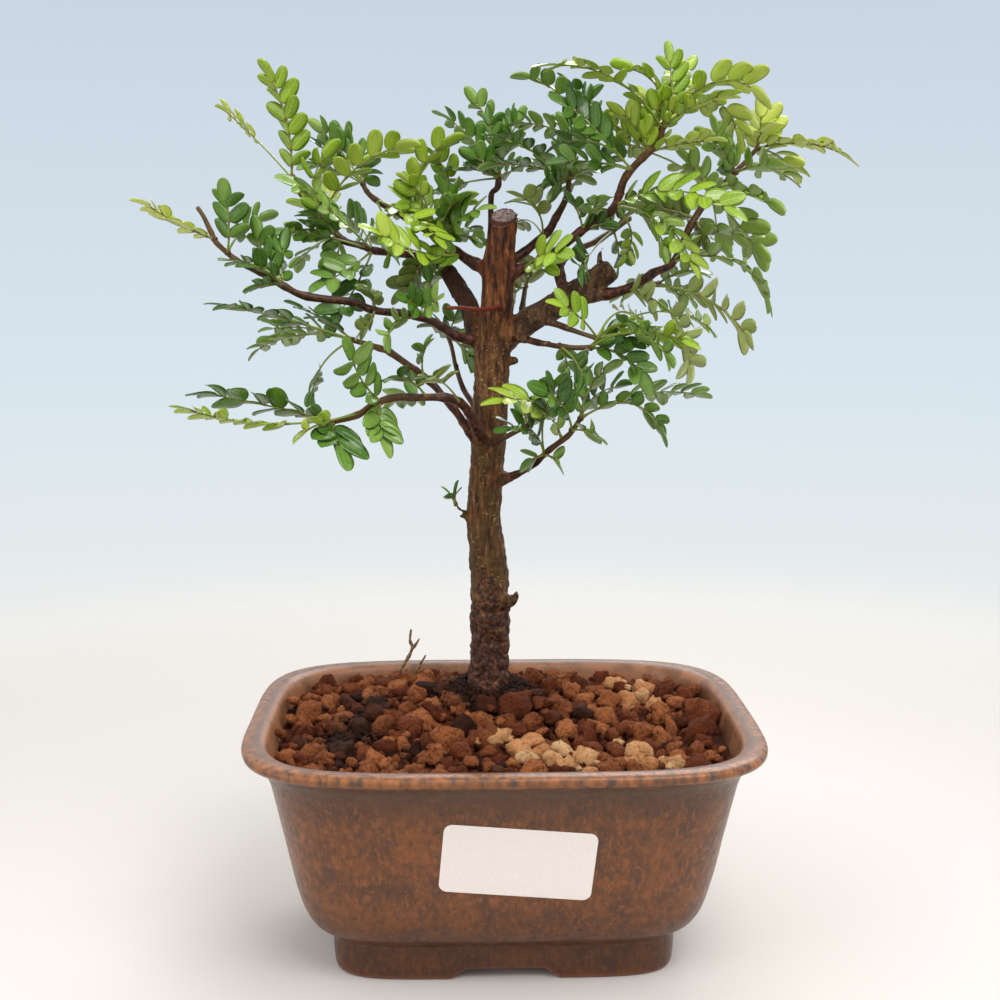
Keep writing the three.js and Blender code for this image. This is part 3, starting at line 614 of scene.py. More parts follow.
@dataclass(frozen=True)
class Bark:
    """Bark of the trunk: wet and dark at the foot, olive in the middle, orange and fissured above."""

    wet_top: float = 0.1
    dark_from: float = 0.048
    dark_to: float = 0.058
    olive_from: float = 0.15
    olive_to: float = 0.17
    fissured_from: float = 0.178
    fissured_to: float = 0.208
    relief: float = 0.6

    UPPER = ((0.36, (40, 20, 12)), (0.47, (92, 48, 22)), (0.6, (140, 78, 36)), (0.72, (182, 116, 66)))
    MIDDLE = ((0.34, (42, 24, 13)), (0.46, (90, 56, 28)), (0.56, (122, 80, 42)), (0.68, (162, 118, 74)))
    LOWER = ((0.38, (24, 13, 10)), (0.49, (62, 35, 24)), (0.57, (106, 62, 38)), (0.67, (160, 112, 76)))
    LIMB = ((0.34, (50, 30, 18)), (0.5, (86, 58, 36)), (0.66, (122, 90, 60)))
    SAWN = ((0.36, (52, 34, 34)), (0.46, (150, 120, 116)), (0.6, (196, 172, 168)))

    def build(self) -> bpy.types.Material:
        """Three barks blended by height, then the limbs', with painted shade on the left limb and the sawn
        face on top.

        Returns:
            The material.
        """
        paint = Paint("bark", 0.62, grip=0.35)
        height = paint.plus(paint.height(), paint.times(paint.noise(14.0), 0.016))
        flow = paint.stretched((1.0, 1.0, 0.22))
        streak = paint.noise(1.5, detail=5.0, rough=0.65, where=flow)
        fine = paint.noise(1.2, detail=6.0, rough=0.78)
        crack = paint.noise(0.9, detail=5.0, rough=0.75, where=flow)
        lenticel = paint.noise(1.3, detail=1.0, where=paint.stretched((1.0, 1.0, 1.7)))
        skin = self._middle(paint, height, streak, crack)
        skin = paint.over(paint.span(lenticel, 0.66, 0.71, 0.0, 0.8), skin, (178, 144, 92))
        upper = paint.ramp(streak, self.UPPER)
        skin = paint.over(paint.span(height, self.fissured_from, self.fissured_to), skin, upper)
        blotch = paint.noise(3.2, detail=3.0, rough=0.6)
        edge = paint.plus(height, paint.times(blotch, -0.12))
        dark = paint.span(edge, self.dark_from, self.dark_to, 1.0, 0.0)
        skin = paint.over(dark, skin, paint.ramp(fine, self.LOWER))
        limb = paint.ramp(streak, self.LIMB)
        limb = paint.over(paint.span(lenticel, 0.62, 0.68, 0.0, 0.8), limb, (148, 116, 84))
        skin = paint.over(paint.value("crook"), skin, limb)
        # painted shade: the limb at the left of the trunk is darkened
        skin = paint.over(paint.times(paint.value("shaded"), 0.75), skin, (50, 30, 20))
        ray = paint.noise(0.9, detail=4.0, rough=0.7)
        skin = paint.over(paint.value("sawn"), skin, paint.ramp(ray, self.SAWN))
        skin = paint.over(paint.value("ring"), skin, (92, 46, 30))
        relief = paint.plus(paint.plus(streak, crack), paint.times(fine, 0.8))
        rough = paint.span(height, self.wet_top, self.wet_top + 0.02, 0.42, 0.66)
        return paint.finish(skin, relief, self.relief, rough)

    def _middle(self, paint: Paint, height: Socket, streak: Socket, crack: Socket) -> Socket:
        """The middle bark: brown streaks with olive patches and dark cracks.

        Args:
            paint: the material.
            height: the height above the ground, a little uneven.
            streak: noise stretched along the trunk.
            crack: finer noise stretched the same way.

        Returns:
            The colour.
        """
        olive = paint.span(height, self.olive_from, self.olive_to, 0.6, 0.0)
        olive = paint.times(olive, paint.span(paint.noise(5.0, detail=3.0), 0.42, 0.6))
        skin = paint.over(olive, paint.ramp(streak, self.MIDDLE), (90, 72, 28))
        return paint.over(paint.span(crack, 0.37, 0.45, 0.75, 0.0), skin, (36, 21, 12))


@dataclass(frozen=True)
class Twig:
    """Smooth red-brown skin of the young branches."""

    relief: float = 0.2

    SKIN = ((0.36, (30, 13, 8)), (0.52, (64, 28, 15)), (0.7, (116, 58, 30)))

    def build(self) -> bpy.types.Material:
        """Red-brown with paler flecks, and greener or redder where a value on the mesh says so.

        Returns:
            The material.
        """
        paint = Paint("twig", 0.46, coat=0.05, grip=0.3)
        streak = paint.noise(1.6, detail=4.0, rough=0.6)
        fleck = paint.noise(0.5, detail=1.0)
        skin = paint.ramp(streak, self.SKIN)
        skin = paint.over(paint.span(fleck, 0.66, 0.74, 0.0, 0.5), skin, (140, 100, 68))
        skin = paint.over(paint.value("young"), skin, (128, 104, 54))
        skin = paint.over(paint.times(paint.value("red"), 0.8), skin, (112, 32, 22))
        return paint.finish(skin, streak, self.relief)


class Tone(Enum):
    """The tones that a spray can have, each named as the record's slot."""

    YOUNG = "young"
    MATURE = "mature"
    OLIVE = "olive"


@dataclass(frozen=True)
class LeafSkin:
    """Glossy leaf skin with a paler midrib and edge, and yellow-green stalks."""

    tone: Tone
    deep: Colour
    main: Colour
    bright: Colour
    vein_spacing: float = 30.0
    vein_slant: float = 9.0
    relief: float = 0.05

    def build(self) -> bpy.types.Material:
        """Greens by leaflet and by place, with side veins slanting from the midrib.

        Returns:
            The material.
        """
        paint = Paint(f"leaf_{self.tone.value}", 0.36, coat=0.4, grip=0.4)
        shade = paint.plus(paint.value("tint"), paint.times(paint.noise(2.4, detail=2.0), 0.35))
        green = paint.ramp(shade, ((0.15, self.deep), (0.6, self.main), (1.1, self.bright)))
        spread = paint.maths(Maths.ABSOLUTE, paint.value("across"))
        along = paint.times(paint.value("along"), self.vein_spacing)
        slant = paint.maths(Maths.SUBTRACT, along, paint.times(spread, self.vein_slant))
        vein = paint.span(paint.maths(Maths.SINE, slant), 0.5, 1.0, 0.0, 0.16)
        vein = paint.times(vein, paint.span(spread, 0.55, 0.9, 1.0, 0.0))
        rib = paint.span(spread, 0.03, 0.1, 0.4, 0.0)
        edge = paint.span(spread, 0.88, 1.0, 0.0, 0.35)
        light = paint.maths(Maths.MAXIMUM, paint.maths(Maths.MAXIMUM, rib, edge), vein)
        green = paint.over(light, green, self.bright)
        stalk = paint.over(paint.value("joint"), (132, 148, 56), (112, 64, 36))
        green = paint.over(paint.value("stalk"), green, stalk)
        return paint.finish(green, paint.noise(1.6, detail=1.0), self.relief)


@dataclass(frozen=True)
class Clay:
    """Porous fired-clay grains in one of their colours, darker where they are wet."""

    name: str
    dark: Colour
    main: Colour
    light: Colour
    roughness: float = 0.85
    relief: float = 2.0

    def build(self) -> bpy.types.Material:
        """Cloudy colour by grain with fine pits.

        Returns:
            The material.
        """
        paint = Paint(self.name, self.roughness, grip=0.16)
        cloud = paint.noise(3.6, detail=4.0, rough=0.6)
        pit = paint.noise(1.2, detail=6.0, rough=0.8)
        shade = paint.plus(paint.value("tint"), paint.times(cloud, 0.6))
        colour = paint.ramp(shade, ((0.15, self.dark), (0.6, self.main), (1.15, self.light)))
        # dark in the pits: the clay's porous pits, partly their own colour and partly painted shade
        colour = paint.over(paint.span(pit, 0.36, 0.52, 0.85, 0.0), colour, self.dark)
        colour = paint.over(paint.value("wet"), colour, (46, 25, 15))
        return paint.finish(colour, paint.plus(paint.times(pit, 1.4), cloud), self.relief)


@dataclass(frozen=True)
class Plain:
    """A plain finish with a little cloudiness, for paper, plastic and dry stems."""

    name: str
    dark: Colour
    light: Colour
    roughness: float
    relief: float = 0.05
    grain: float = 0.6

    def build(self) -> bpy.types.Material:
        """Two close colours under fine noise.

        Returns:
            The material.
        """
        paint = Paint(self.name, self.roughness, grip=0.4)
        fine = paint.noise(self.grain, detail=3.0)
        colour = paint.over(paint.span(fine, 0.35, 0.65), self.dark, self.light)
        return paint.finish(colour, fine, self.relief)


def new_object(name: str, data: bpy.types.ID) -> bpy.types.Object:
    """A new object in the scene, at the origin.

    Args:
        name: its name.
        data: its mesh, light or camera.

    Returns:
        The object.
    """
    made = bpy.data.objects.new(name, data)
    bpy.context.scene.collection.objects.link(made)
    return made


def place(mesh: bpy.types.Mesh, finish: bpy.types.Material, slot: str, node: str) -> bpy.types.Object:
    """Makes a mesh a piece of the object.

    Args:
        mesh: the finished surface, in its place.
        finish: its material.
        slot: the record's material slot; not used.
        node: the solid that it stands for.

    Returns:
        The piece, riding on the one body.
    """
    mesh.materials.clear()
    mesh.materials.append(finish)
    piece = new_object(mesh.name, mesh)
    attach(piece, "root")
    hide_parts(node)
    LOG.info("%s stands for %s with %d faces", piece.name, node, len(mesh.polygons))
    return piece


def remade(mesh: bpy.types.Mesh, *changes: tuple[str, str, dict[str, object]]) -> bpy.types.Mesh:
    """A mesh after some modifiers, applied for good.

    Args:
        mesh: the mesh to change, which is used up.
        changes: each modifier's name, kind and settings.

    Returns:
        The new mesh, under the old name.
    """
    name = mesh.name
    maker = new_object("maker", mesh)
    for label, kind, settings in changes:
        modifier = maker.modifiers.new(label, kind)
        for key, value in settings.items():
            setattr(modifier, key, value)
    graph = bpy.context.evaluated_depsgraph_get()
    result = bpy.data.meshes.new_from_object(maker.evaluated_get(graph))
    bpy.data.objects.remove(maker)
    bpy.data.meshes.remove(mesh)
    result.name = name
    return result


def corners_of(mesh: bpy.types.Mesh) -> Array:
    """A mesh's corners in millimetres.

    Args:
        mesh: the mesh.

    Returns:
        The corners, (corner, 3).
    """
    flat = np.zeros(len(mesh.vertices) * 3, np.float32)
    mesh.vertices.foreach_get("co", flat)
    return flat.reshape(-1, 3).astype(float) / METRES


def outward(mesh: bpy.types.Mesh) -> Array:
    """The outward direction at each corner of a mesh.

    Args:
        mesh: the mesh.

    Returns:
        The directions, (corner, 3).
    """
    flat = np.zeros(len(mesh.vertices) * 3, np.float32)
    mesh.vertex_normals.foreach_get("vector", flat)
    return flat.reshape(-1, 3).astype(float)


@dataclass
class Pot:
    """The glazed oblong pot.

    Each row of the profile is [half width, half depth, height, squareness], from the middle of
    the recess under the foot, round the lip, to the middle of the floor. The rows of the wall and
    the lip leave out the half depth, which is less than the half width by the same amount in all.
    """

    less_deep: float = 16.0
    sides: int = 288
    steps: int = 5
    foot_gap_half: float = 12.5
    foot_gap_height: float = 3.0
    foot_gap_ease: float = 1.2
    foot_inner: Row = (36.0, 20.0)
    recess_height: float = 7.0
    drain_radius: float = 6.0
    drain_x: float = 28.0
    drain_levels: Row = (3.0, 9.0, 15.0, 20.0)
    wall_rows: int = 10
    lip_row: int = 14
    swell: float = 0.22
    ripple: float = 0.07

    UNDER = [
        (1.0, 0.6, 7, 2.0), (20.0, 12.0, 7, 2.6), (40.2, 24.2, 7, 5.0), (41.6, 25.6, 6.4, 6.0),
        (42.0, 26.0, 5, 6.0), (42.0, 26.0, 1.2, 6.0), (42.4, 26.4, 0.3, 6.0), (43.2, 27.2, 0, 6.0),
        (48.6, 32.6, 0, 6.0), (49.6, 33.6, 0.3, 6.0),
    ]
    OUTSIDE = [
        (50.0, 1.2, 6.0), (50.3, 5, 6.0), (50.4, 9, 6.0), (51, 10.7, 5.9), (53.2, 12.4, 5.4),
        (56.2, 14.9, 5.0), (58.9, 19.5, 4.7), (61.4, 28, 4.5), (63.9, 40, 4.4), (66.3, 51.5, 4.4),
        (67.8, 58.0, 4.4), (69.6, 62.3, 4.4), (72.2, 64.8, 4.4), (74.3, 66.1, 4.4), (75.0, 67.4, 4.4),
        (74.5, 68.6, 4.4), (73, 69.15, 4.4), (71.2, 69.2, 4.4), (69.4, 68.7, 4.4), (68.2, 67.4, 4.4),
        (67.3, 64.0, 4.4), (64.6, 52, 4.4), (61, 42, 4.4), (55, 24, 4.4), (47.5, 14, 4.4),
    ]
    FLOOR = [(45.5, 29.5, 13.05, 4.4), (30.0, 20.0, 13, 3.0), (1.0, 0.6, 13, 2.0)]

    def profile(self) -> Array:
        """The whole profile, with the rows between smoothed.

        Returns:
            Rows as the class gives them.
        """
        outside = [
            (width, width - self.less_deep, height, square)
            for width, height, square in self.OUTSIDE
        ]
        return smoothed(np.array([*self.UNDER, *outside, *self.FLOOR], float), self.steps)

    def surface(self, rows: Array) -> Array:
        """A ring for each row: |x / half width| and |y / half depth|, to the squareness, sum to 1.

        Args:
            rows: rows of the profile.

        Returns:
            The rings, (row, corner, 3).
        """
        across, along = oblong(self.sides, rows[:, 3:4])
        height = np.broadcast_to(rows[:, 2:3], across.shape)
        return np.stack([rows[:, 0:1] * across, rows[:, 1:2] * along, height], -1)

    def front(self, x: Array, z: Array) -> Array:
        """The depth of the front wall at x and z.

        Args:
            x: places across.
            z: their heights.

        Returns:
            y at each.
        """
        rows = self.profile()
        foot = len(self.UNDER)
        wall = rows[foot * self.steps : (foot + self.wall_rows) * self.steps]
        wide = np.interp(z, wall[:, 2], wall[:, 0])
        square = np.interp(z, wall[:, 2], wall[:, 3])
        bow = (1.0 - np.abs(x / wide) ** square) ** (1.0 / square)
        return -(wide - self.less_deep) * bow

    def build(self) -> bpy.types.Mesh:
        """The pot as one closed skin with the drain holes cut through its floor.

        Returns:
            The pot's mesh.
        """
        rows = self.profile()
        rings = self.surface(rows)
        self._open_foot(rings)
        level = np.arange(len(rows)) / self.steps
        foot = len(self.UNDER)
        lip = foot + self.lip_row
        wave = Unevenness(3)
        swell = self.swell * wave.at(rings, 21.0) + self.ripple * wave.at(rings, 5.0)
        floor = len(rows) / self.steps - 4
        walls = eased((level - foot - 1) / 3.0) * eased((floor - level) / 2.0)
        centre = rings * np.array([0.0, 0.0, 1.0])
        rings = rings + unit(rings - centre) * (swell * walls[:, None])[..., None]
        rim = eased(1.0 - np.abs(level - lip - 0.6) / 3.4)[:, None]
        rim = eased(rim * 1.7 + 0.35 * wave.at(rings, 4.0) * (rim > 0.02))
        inner = eased((level - lip - 3.2) / 1.2)[:, None]
        bare = eased(foot + 0.3 - level)[:, None]
        skin = Skin()
        skin.add(rings, rim=rim, inner=inner, bare=bare)
        cutters = [self._drain(x) for x in (-self.drain_x, self.drain_x)]
        changes = [
            (f"drain{side}", "BOOLEAN", {"object": cutter, "operation": "DIFFERENCE", "solver": "EXACT"})
            for side, cutter in enumerate(cutters)
        ]
        mesh = remade(skin.mesh("pot_body"), *changes)
        for cutter in cutters:
            bpy.data.objects.remove(cutter)
        return mesh

    def _open_foot(self, rings: Array) -> None:
        """Lifts the foot's ring in the middle of each side, in place, and leaves the recess as it is.

        Args:
            rings: the pot's rings.
        """
        x, y, z = (rings[..., k] for k in range(3))
        wide, deep = self.foot_inner
        front = eased((self.foot_gap_half - np.abs(x)) / self.foot_gap_ease) * (np.abs(y) > deep)
        side = eased((self.foot_gap_half - np.abs(y)) / self.foot_gap_ease) * (np.abs(x) > wide)
        raised = self.foot_gap_height * np.maximum(front, side)
        lifted = raised + z * (self.recess_height - raised) / self.recess_height
        rings[..., 2] = np.where(z < self.recess_height, lifted, z)

    def _drain(self, x: float) -> bpy.types.Object:
        """A round plug through the floor at x, to cut a drain hole with.

        Args:
            x: the hole's place.

        Returns:
            The plug.
        """
        path = np.array([[x, 0.0, height] for height in self.drain_levels])
        skin = Skin()
        skin.add(tube(path, np.full(len(path), self.drain_radius), 64))
        return new_object("plug", skin.mesh("plug"))

    def dress(self) -> None:
        """Places the glazed pot."""
        place(self.build(), Glaze().build(), "glaze", "pot")


@dataclass
class Label:
    """The bare paper label on the front wall."""

    pot: Pot
    width: float = 42.0
    height: float = 21.0
    corner: float = 2.4
    thickness: float = 0.22
    clearance: float = 0.06
    tilt: float = 5.0
    x: float = 2.8
    z: float = 41.2

    def build(self) -> bpy.types.Mesh:
        """A rounded oblong laid on the wall: rings shrink to the middle on the back and the face.

        Returns:
            The label's mesh.
        """
        turn = np.linspace(0.0, 2 * np.pi, 96, endpoint=False)
        wide = np.sign(np.cos(turn)) * (self.width / 2 - self.corner) + self.corner * np.cos(turn)
        high = np.sign(np.sin(turn)) * (self.height / 2 - self.corner) + self.corner * np.sin(turn)
        outline = np.stack([wide, high], -1)
        shares = np.array([0.02, 0.35, 0.7, 0.97, 1.0, 1.0, 0.993, 0.97, 0.7, 0.35, 0.02])
        front = np.array([0, 0, 0, 0, 0, 0.8, 1, 1, 1, 1, 1])
        proud = front * self.thickness + self.clearance
        flat = outline[None] * shares[:, None, None]
        lean = -math.radians(self.tilt)
        x = self.x + flat[..., 0] * math.cos(lean) - flat[..., 1] * math.sin(lean)
        z = self.z + flat[..., 0] * math.sin(lean) + flat[..., 1] * math.cos(lean)
        y = self.pot.front(x, z) - proud[:, None]
        skin = Skin()
        skin.add(np.stack([x, y, z], -1))
        return skin.mesh("label_paper")

    def dress(self) -> None:
        """Places the white paper."""
        paper = Plain("paper", (236, 226, 220), (240, 230, 224), 0.42, 0.004, 0.8)
        place(self.build(), paper.build(), "label", "label")


@dataclass
class Soil:
    """Fired-clay grains in the pot: a bed under them, and loose grains of three colours on top."""

    edge: float = 61.0
    rise: float = 5.5
    rise_half_width: float = 34.0
    rise_half_depth: float = 27.0
    back_rise: float = 2.6
    back_from: float = -12.0
    back_run: float = 50.0
    tree_x: float = -4.5
    tree_y: float = 20.0
    wet_half_width: float = 11.0
    wet_half_depth: float = 10.0
    half_width: float = 67.2
    half_depth: float = 51.2
    squareness: float = 4.4
    bed_sides: int = 200
    bed_rings: int = 48
    bed_reach: Row = (0.99, 0.985)
    clear_of_trunk: float = 8.2
    cuts: int = 9
    crumbs_by_trunk: int = 900
    crumbs_in_patch: int = 320
    crumbs_elsewhere: int = 160
    seed: int = 11

    # The bed's side as half width and height
    WALL = ((2.0, 13.4), (45.4, 13.4), (54.5, 24.4), (60.5, 42), (66.6, 60))
    # Single large grains as x, y and half size
    LUMPS = ((59.0, -5.0, 5.2), (62.5, 8.5, 5.0), (4.5, 8.0, 4.6))
    # Layers of grains as spacing, least and greatest half size, and lift above the bed
    LAYERS = ((3.9, 1.6, 2.5, -0.6), (7.3, 2.7, 4.4, 1.2), (8.5, 1.1, 2.0, 2.4))
    # Patches as x and y of the middle, half width and half depth
    WET_LEFT = (-45.0, -1.0, 8.0, 22.0)
    PALE_FRONT = (20.0, -20.0, 29.0, 13.0)
    PALE_BACK = (42.0, 28.0, 8.0, 12.0)

    def top(self, x: Array, y: Array) -> Array:
        """The bed's height: the edge, a rise round the trunk, and a slope up to the back.

        Args:
            x: places across.
            y: their depths.

        Returns:
            The height at each.
        """
        away = ((x - self.tree_x) / self.rise_half_width) ** 2
        away = away + ((y - self.tree_y) / self.rise_half_depth) ** 2
        back = eased((y - self.back_from) / self.back_run)
        return self.edge + self.rise * np.exp(-away) + self.back_rise * back

    def bed(self) -> bpy.types.Mesh:
        """A closed body: up the wall from the floor, then over the top in shrinking rounded oblongs.

        Returns:
            The bed's mesh.
        """
        across, along = oblong(self.bed_sides, self.squareness)
        level = np.ones(self.bed_sides)
        walls = [
            np.stack([width * across, max(width - 16.0, 0.42 * width) * along, height * level], -1)
            for width, height in smoothed(np.array(self.WALL), 6)
        ]
        lumps = Unevenness(5)
        tops = []
        for share in np.linspace(1.0, 0.02, self.bed_rings):
            x = self.half_width * self.bed_reach[0] * share * across
            y = self.half_depth * self.bed_reach[1] * share * along
            flat = np.stack([x, y, 0 * x], -1)
            tops.append(np.stack([x, y, self.top(x, y) - 0.6 + 0.9 * lumps.at(flat, 3.1)], -1))
        rings = np.stack([*walls, *tops])
        x, y = rings[..., 0], rings[..., 1]
        skin = Skin()
        # painted shade: the bed gets a darker tint than the loose grains, as shade in the gaps between
        # them
        skin.add(rings, tint=0.05 + 0.25 * lumps.at(rings, 7.0), wet=self.wetness(x, y))
        return skin.mesh("soil_bed")

    @staticmethod
    def _from_middle(x: Array, y: Array, patch: Row) -> Array:
        """How far places are from the middle of an oval patch, with 1 at its edge."""
        return np.hypot((x - patch[0]) / patch[2], (y - patch[1]) / patch[3])

    def wetness(self, x: Array, y: Array) -> Array:
        """How wet the soil is: round the trunk, and in a slanting patch at the left.

        Args:
            x: places across.
            y: their depths.

        Returns:
            From 0 for dry to 1 at each.
        """
        foot = (self.tree_x, self.tree_y, self.wet_half_width, self.wet_half_depth)
        trunk = self._from_middle(x, y, foot)
        left = self._from_middle(x - 0.22 * y, y, self.WET_LEFT)
        return np.clip(eased(1.8 - trunk) + 0.9 * eased(1.4 - left), 0.0, 1.0)

    def spots(self) -> Array:
        """The grains as rows of place, half size and lift: jittered honeycombs one above the other.

        Returns:
            Rows of x, y, z, half size and lift.
        """
        draw = np.random.default_rng(self.seed)
        lumps = [(x, y, float(self.top(x, y)) + 2.0, size, 2.0) for x, y, size in self.LUMPS]
        layers = [np.array(lumps)]
        for spacing, small, large, lift in self.LAYERS:
            column, row = np.meshgrid(np.arange(-24, 25), np.arange(-24, 25))
            stray = 0.24 * spacing
            x = (column + 0.5 * (row % 2)) * spacing + draw.uniform(-stray, stray, column.shape)
            y = row * spacing * 0.87 + draw.uniform(-stray, stray, column.shape)
            size = small + (large - small) * draw.beta(1.6, 2.2, column.shape)
            height = self.top(x, y) + lift + draw.uniform(-0.8, 0.7, column.shape)
            keep = draw.uniform(0, 1, column.shape) > (0.0 if lift < 0 else 0.2)
            nearest = [np.hypot(x - lump[0], y - lump[1]) - lump[3] for lump in lumps]
            keep &= np.min(nearest, axis=0) > 0.6 * size
            layers.append(np.stack([x, y, height, size, 0 * x + lift], -1)[keep])
        rows = np.concatenate(layers)
        x, y, _, size, _ = rows.T
        inside = np.abs(x / (self.half_width - 0.8 * size)) ** self.squareness
        inside = inside + np.abs(y / (self.half_depth - 0.8 * size)) ** self.squareness
        clear = np.hypot(x - self.tree_x, y - self.tree_y) > self.clear_of_trunk + 0.5 * size
        return rows[(inside < 1.0) & clear]

    def crumbs(self, draw: np.random.Generator) -> Array:
        """Rows of fine crumbs: most round the trunk and in the wet patch, a few everywhere.

        Args:
            draw: the random draws.

        Returns:
            Rows of x, y, z, half size and lift.
        """
        turn = draw.uniform(0, 2 * np.pi, self.crumbs_by_trunk)
        far = 6.6 + 11.0 * draw.beta(1.1, 2.0, self.crumbs_by_trunk)
        by_trunk = np.stack([self.tree_x + far * np.cos(turn), self.tree_y + far * np.sin(turn)], -1)
        patch_x = draw.normal(-45.0, 4.5, self.crumbs_in_patch)
        patch_y = draw.normal(-4.0, 12.0, self.crumbs_in_patch)
        patch = np.stack([patch_x, patch_y], -1)
        room = (self.half_width - 9.0, self.half_depth - 9.0)
        anywhere = draw.uniform(-1, 1, (self.crumbs_elsewhere, 2)) * room
        spots = np.concatenate([by_trunk, patch, anywhere])
        spots = np.clip(spots, (-61.0, -44.0), (61.0, 44.0))
        x, y = spots.T
        size = draw.uniform(0.45, 1.1, len(x))
        close = np.exp(-np.hypot(x - self.tree_x, y - self.tree_y) / 9.0)
        height = self.top(x, y) + draw.uniform(0.2, 2.2, len(x)) + 4.2 * close
        return np.stack([x, y, height, size, 0 * x + 0.5], -1)

    def shapes(self, places: Array, sizes: Array, draw: np.random.Generator, rings: int = 8) -> Array:
        """Crumbly lumps: a ball of rings cut by random flats, stretched, turned and dented.

        Args:
            places: the middle of each lump.
            sizes: the half size of each.
            draw: the random draws.
            rings: the rings of corners in each; a ring has three corners more than that.

        Returns:
            Rings as (lump, ring, corner, 3).
        """
        many = len(sizes)
        tilt = np.linspace(0.0, np.pi, rings + 2)[1:-1]
        turn = np.linspace(0.0, 2 * np.pi, rings + 3, endpoint=False)
        ball = np.stack(
            [
                np.sin(tilt)[:, None] * np.cos(turn),
                np.sin(tilt)[:, None] * np.sin(turn),
                np.cos(tilt)[:, None] + 0 * turn,
            ],
            -1,
        )
        flats = unit(draw.normal(size=(many, self.cuts, 3)))
        depth = draw.uniform(0.52, 0.9, (many, 1, 1, self.cuts))
        toward = np.maximum(np.einsum("lsk,nck->nlsc", ball, flats), 0.0) / depth
        reach = (1.0 + (toward**12).sum(-1)) ** (-1.0 / 12.0)
        stretch = draw.uniform(0.9, 1.35, (many, 1, 1, 3)) * np.array([1.08, 1.08, 0.92])
        dents = Unevenness(8)
        offset = draw.uniform(0, 30, (many, 1, 1, 3))
        swell = 0.2 * dents.at(ball[None] + offset, 0.85) + 0.34 * dents.at(ball[None] + offset, 0.4)
        body = ball[None] * (reach * (1.0 + swell))[..., None] * stretch
        axis = unit(draw.normal(size=(many, 3)))
        side = unit(np.cross(axis, draw.normal(size=(many, 3))))
        frame = np.stack([axis, side, np.cross(axis, side)], 1)
        turned = np.einsum("nlsk,nkj->nlsj", body, frame)
        turned[..., 2] *= 0.88
        return places[:, None, None] + turned * sizes[:, None, None, None]

    def pale(self, rows: Array, draw: np.random.Generator) -> Array:
        """Which grains are pale: many at the front right, some at the back right, few elsewhere.

        Args:
            rows: the grains' rows.
            draw: the random draws.

        Returns:
            True for each pale grain.
        """
        x, y, _, _, lift = rows.T
        front = self._from_middle(x, y + 0.25 * x, self.PALE_FRONT)
        back = self._from_middle(x, y, self.PALE_BACK)
        chosen = (front < 1.0) & (draw.uniform(0, 1, len(x)) < 0.9 - 0.35 * front)
        chosen |= (back < 1.0) & (draw.uniform(0, 1, len(x)) < 0.8)
        chosen &= lift > 0.0
        return chosen | (draw.uniform(0, 1, len(x)) < 0.004)

    def grains(
        self, name: str, finish: Clay, rows: Array, draw: np.random.Generator, soak: float = 1.0
    ) -> None:
        """Places the grains of one colour.

        Args:
            name: the piece's name.
            finish: its colour.
            rows: place, half size and lift of each grain.
            draw: the random draws.
            soak: how much water shows on it, from 0 to 1.
        """
        x, y, _, sizes, lift = rows.T
        rings = self.shapes(rows[:, :3], sizes, draw)
        damp = self.wetness(x, y) * draw.uniform(0.45, 1.0, len(rows)) * soak
        # painted shade: grains lower in the pile get a darker tint, those on top a lighter one
        shade = draw.normal(0.34, 0.2, len(rows)) + 0.09 * lift
        skin = Skin()
        skin.add(rings, tint=shade[:, None, None], wet=damp[:, None, None])
        place(skin.mesh(name), finish.build(), "soil", "soil")

    def dress(self) -> None:
        """Places the bed, the grains of each colour and the crumbs."""
        brown = Clay("clay_brown", (58, 25, 13), (130, 63, 33), (200, 120, 70))
        tan = Clay("clay_tan", (178, 106, 62), (242, 168, 108), (255, 208, 150))
        dark = Clay("clay_dark", (34, 18, 11), (70, 36, 21), (108, 60, 38), 0.75)
        place(self.bed(), brown.build(), "soil", "soil")
        draw = np.random.default_rng(self.seed + 1)
        rows = self.spots()
        pale = self.pale(rows, draw)
        wet = self.wetness(rows[:, 0], rows[:, 1])
        sooty = ~pale & (draw.uniform(0, 1, len(rows)) < 0.05 + 0.25 * wet)
        self.grains("soil_grains_brown", brown, rows[~pale & ~sooty], draw)
        self.grains("soil_grains_tan", tan, rows[pale], draw, soak=0.35)
        self.grains("soil_grains_dark", dark, rows[sooty], draw)
        fine = self.crumbs(draw)
        damp = self.wetness(fine[:, 0], fine[:, 1]) * draw.uniform(0.5, 1.0, len(fine))
        rings = self.shapes(fine[:, :3], fine[:, 3], draw, rings=4)
        skin = Skin()
        skin.add(rings, tint=draw.uniform(0, 1, (len(fine), 1, 1)), wet=damp[:, None, None])
        place(skin.mesh("soil_crumbs"), dark.build(), "soil", "soil")


# The wood, in rows of x, z, y and radius, as seen
TRUNK = [(-3.9, 42, 20, 10.5), (-3.8, 58, 20, 9), (-3.8, 68, 20, 8), (-3.9, 75, 20, 6.8),
    (-3.9, 84, 20, 6.1), (-3.8, 93, 20, 6), (-3.7, 103, 19, 5.9), (-4, 113, 19, 5.7),
    (-4.9, 121, 18, 5.5), (-5.6, 128, 18, 5.3), (-5.2, 137, 17, 5.1), (-4.4, 148, 17, 5.3),
    (-3.7, 160, 16, 5.2), (-3.3, 172, 16, 5.2), (-2.6, 182, 16, 5.2), (-1.7, 191, 15, 4.7),
    (-1.5, 199, 15, 4.8), (-0.8, 206, 14, 4.6), (-0.2, 212, 14, 4.3), (0.1, 215.6, 14, 4.1)]
LIMBS = {
    "leftLimb": [(-3, 176, 18, 4), (-7.5, 183, 20, 3.4), (-9.8, 189.7, 22, 3.1),
        (-12.5, 194.3, 24, 2.9), (-15, 198.5, 25, 2.6), (-16.8, 200.8, 26, 2.2)],
    "rightLimb": [(-2, 179, 16, 4.4), (6, 184.6, 14, 3.8), (12, 188.3, 12, 3.9), (18, 192, 11, 3.9),
        (24, 195.7, 10, 3.8), (30.3, 199.8, 9, 3.6)],
}
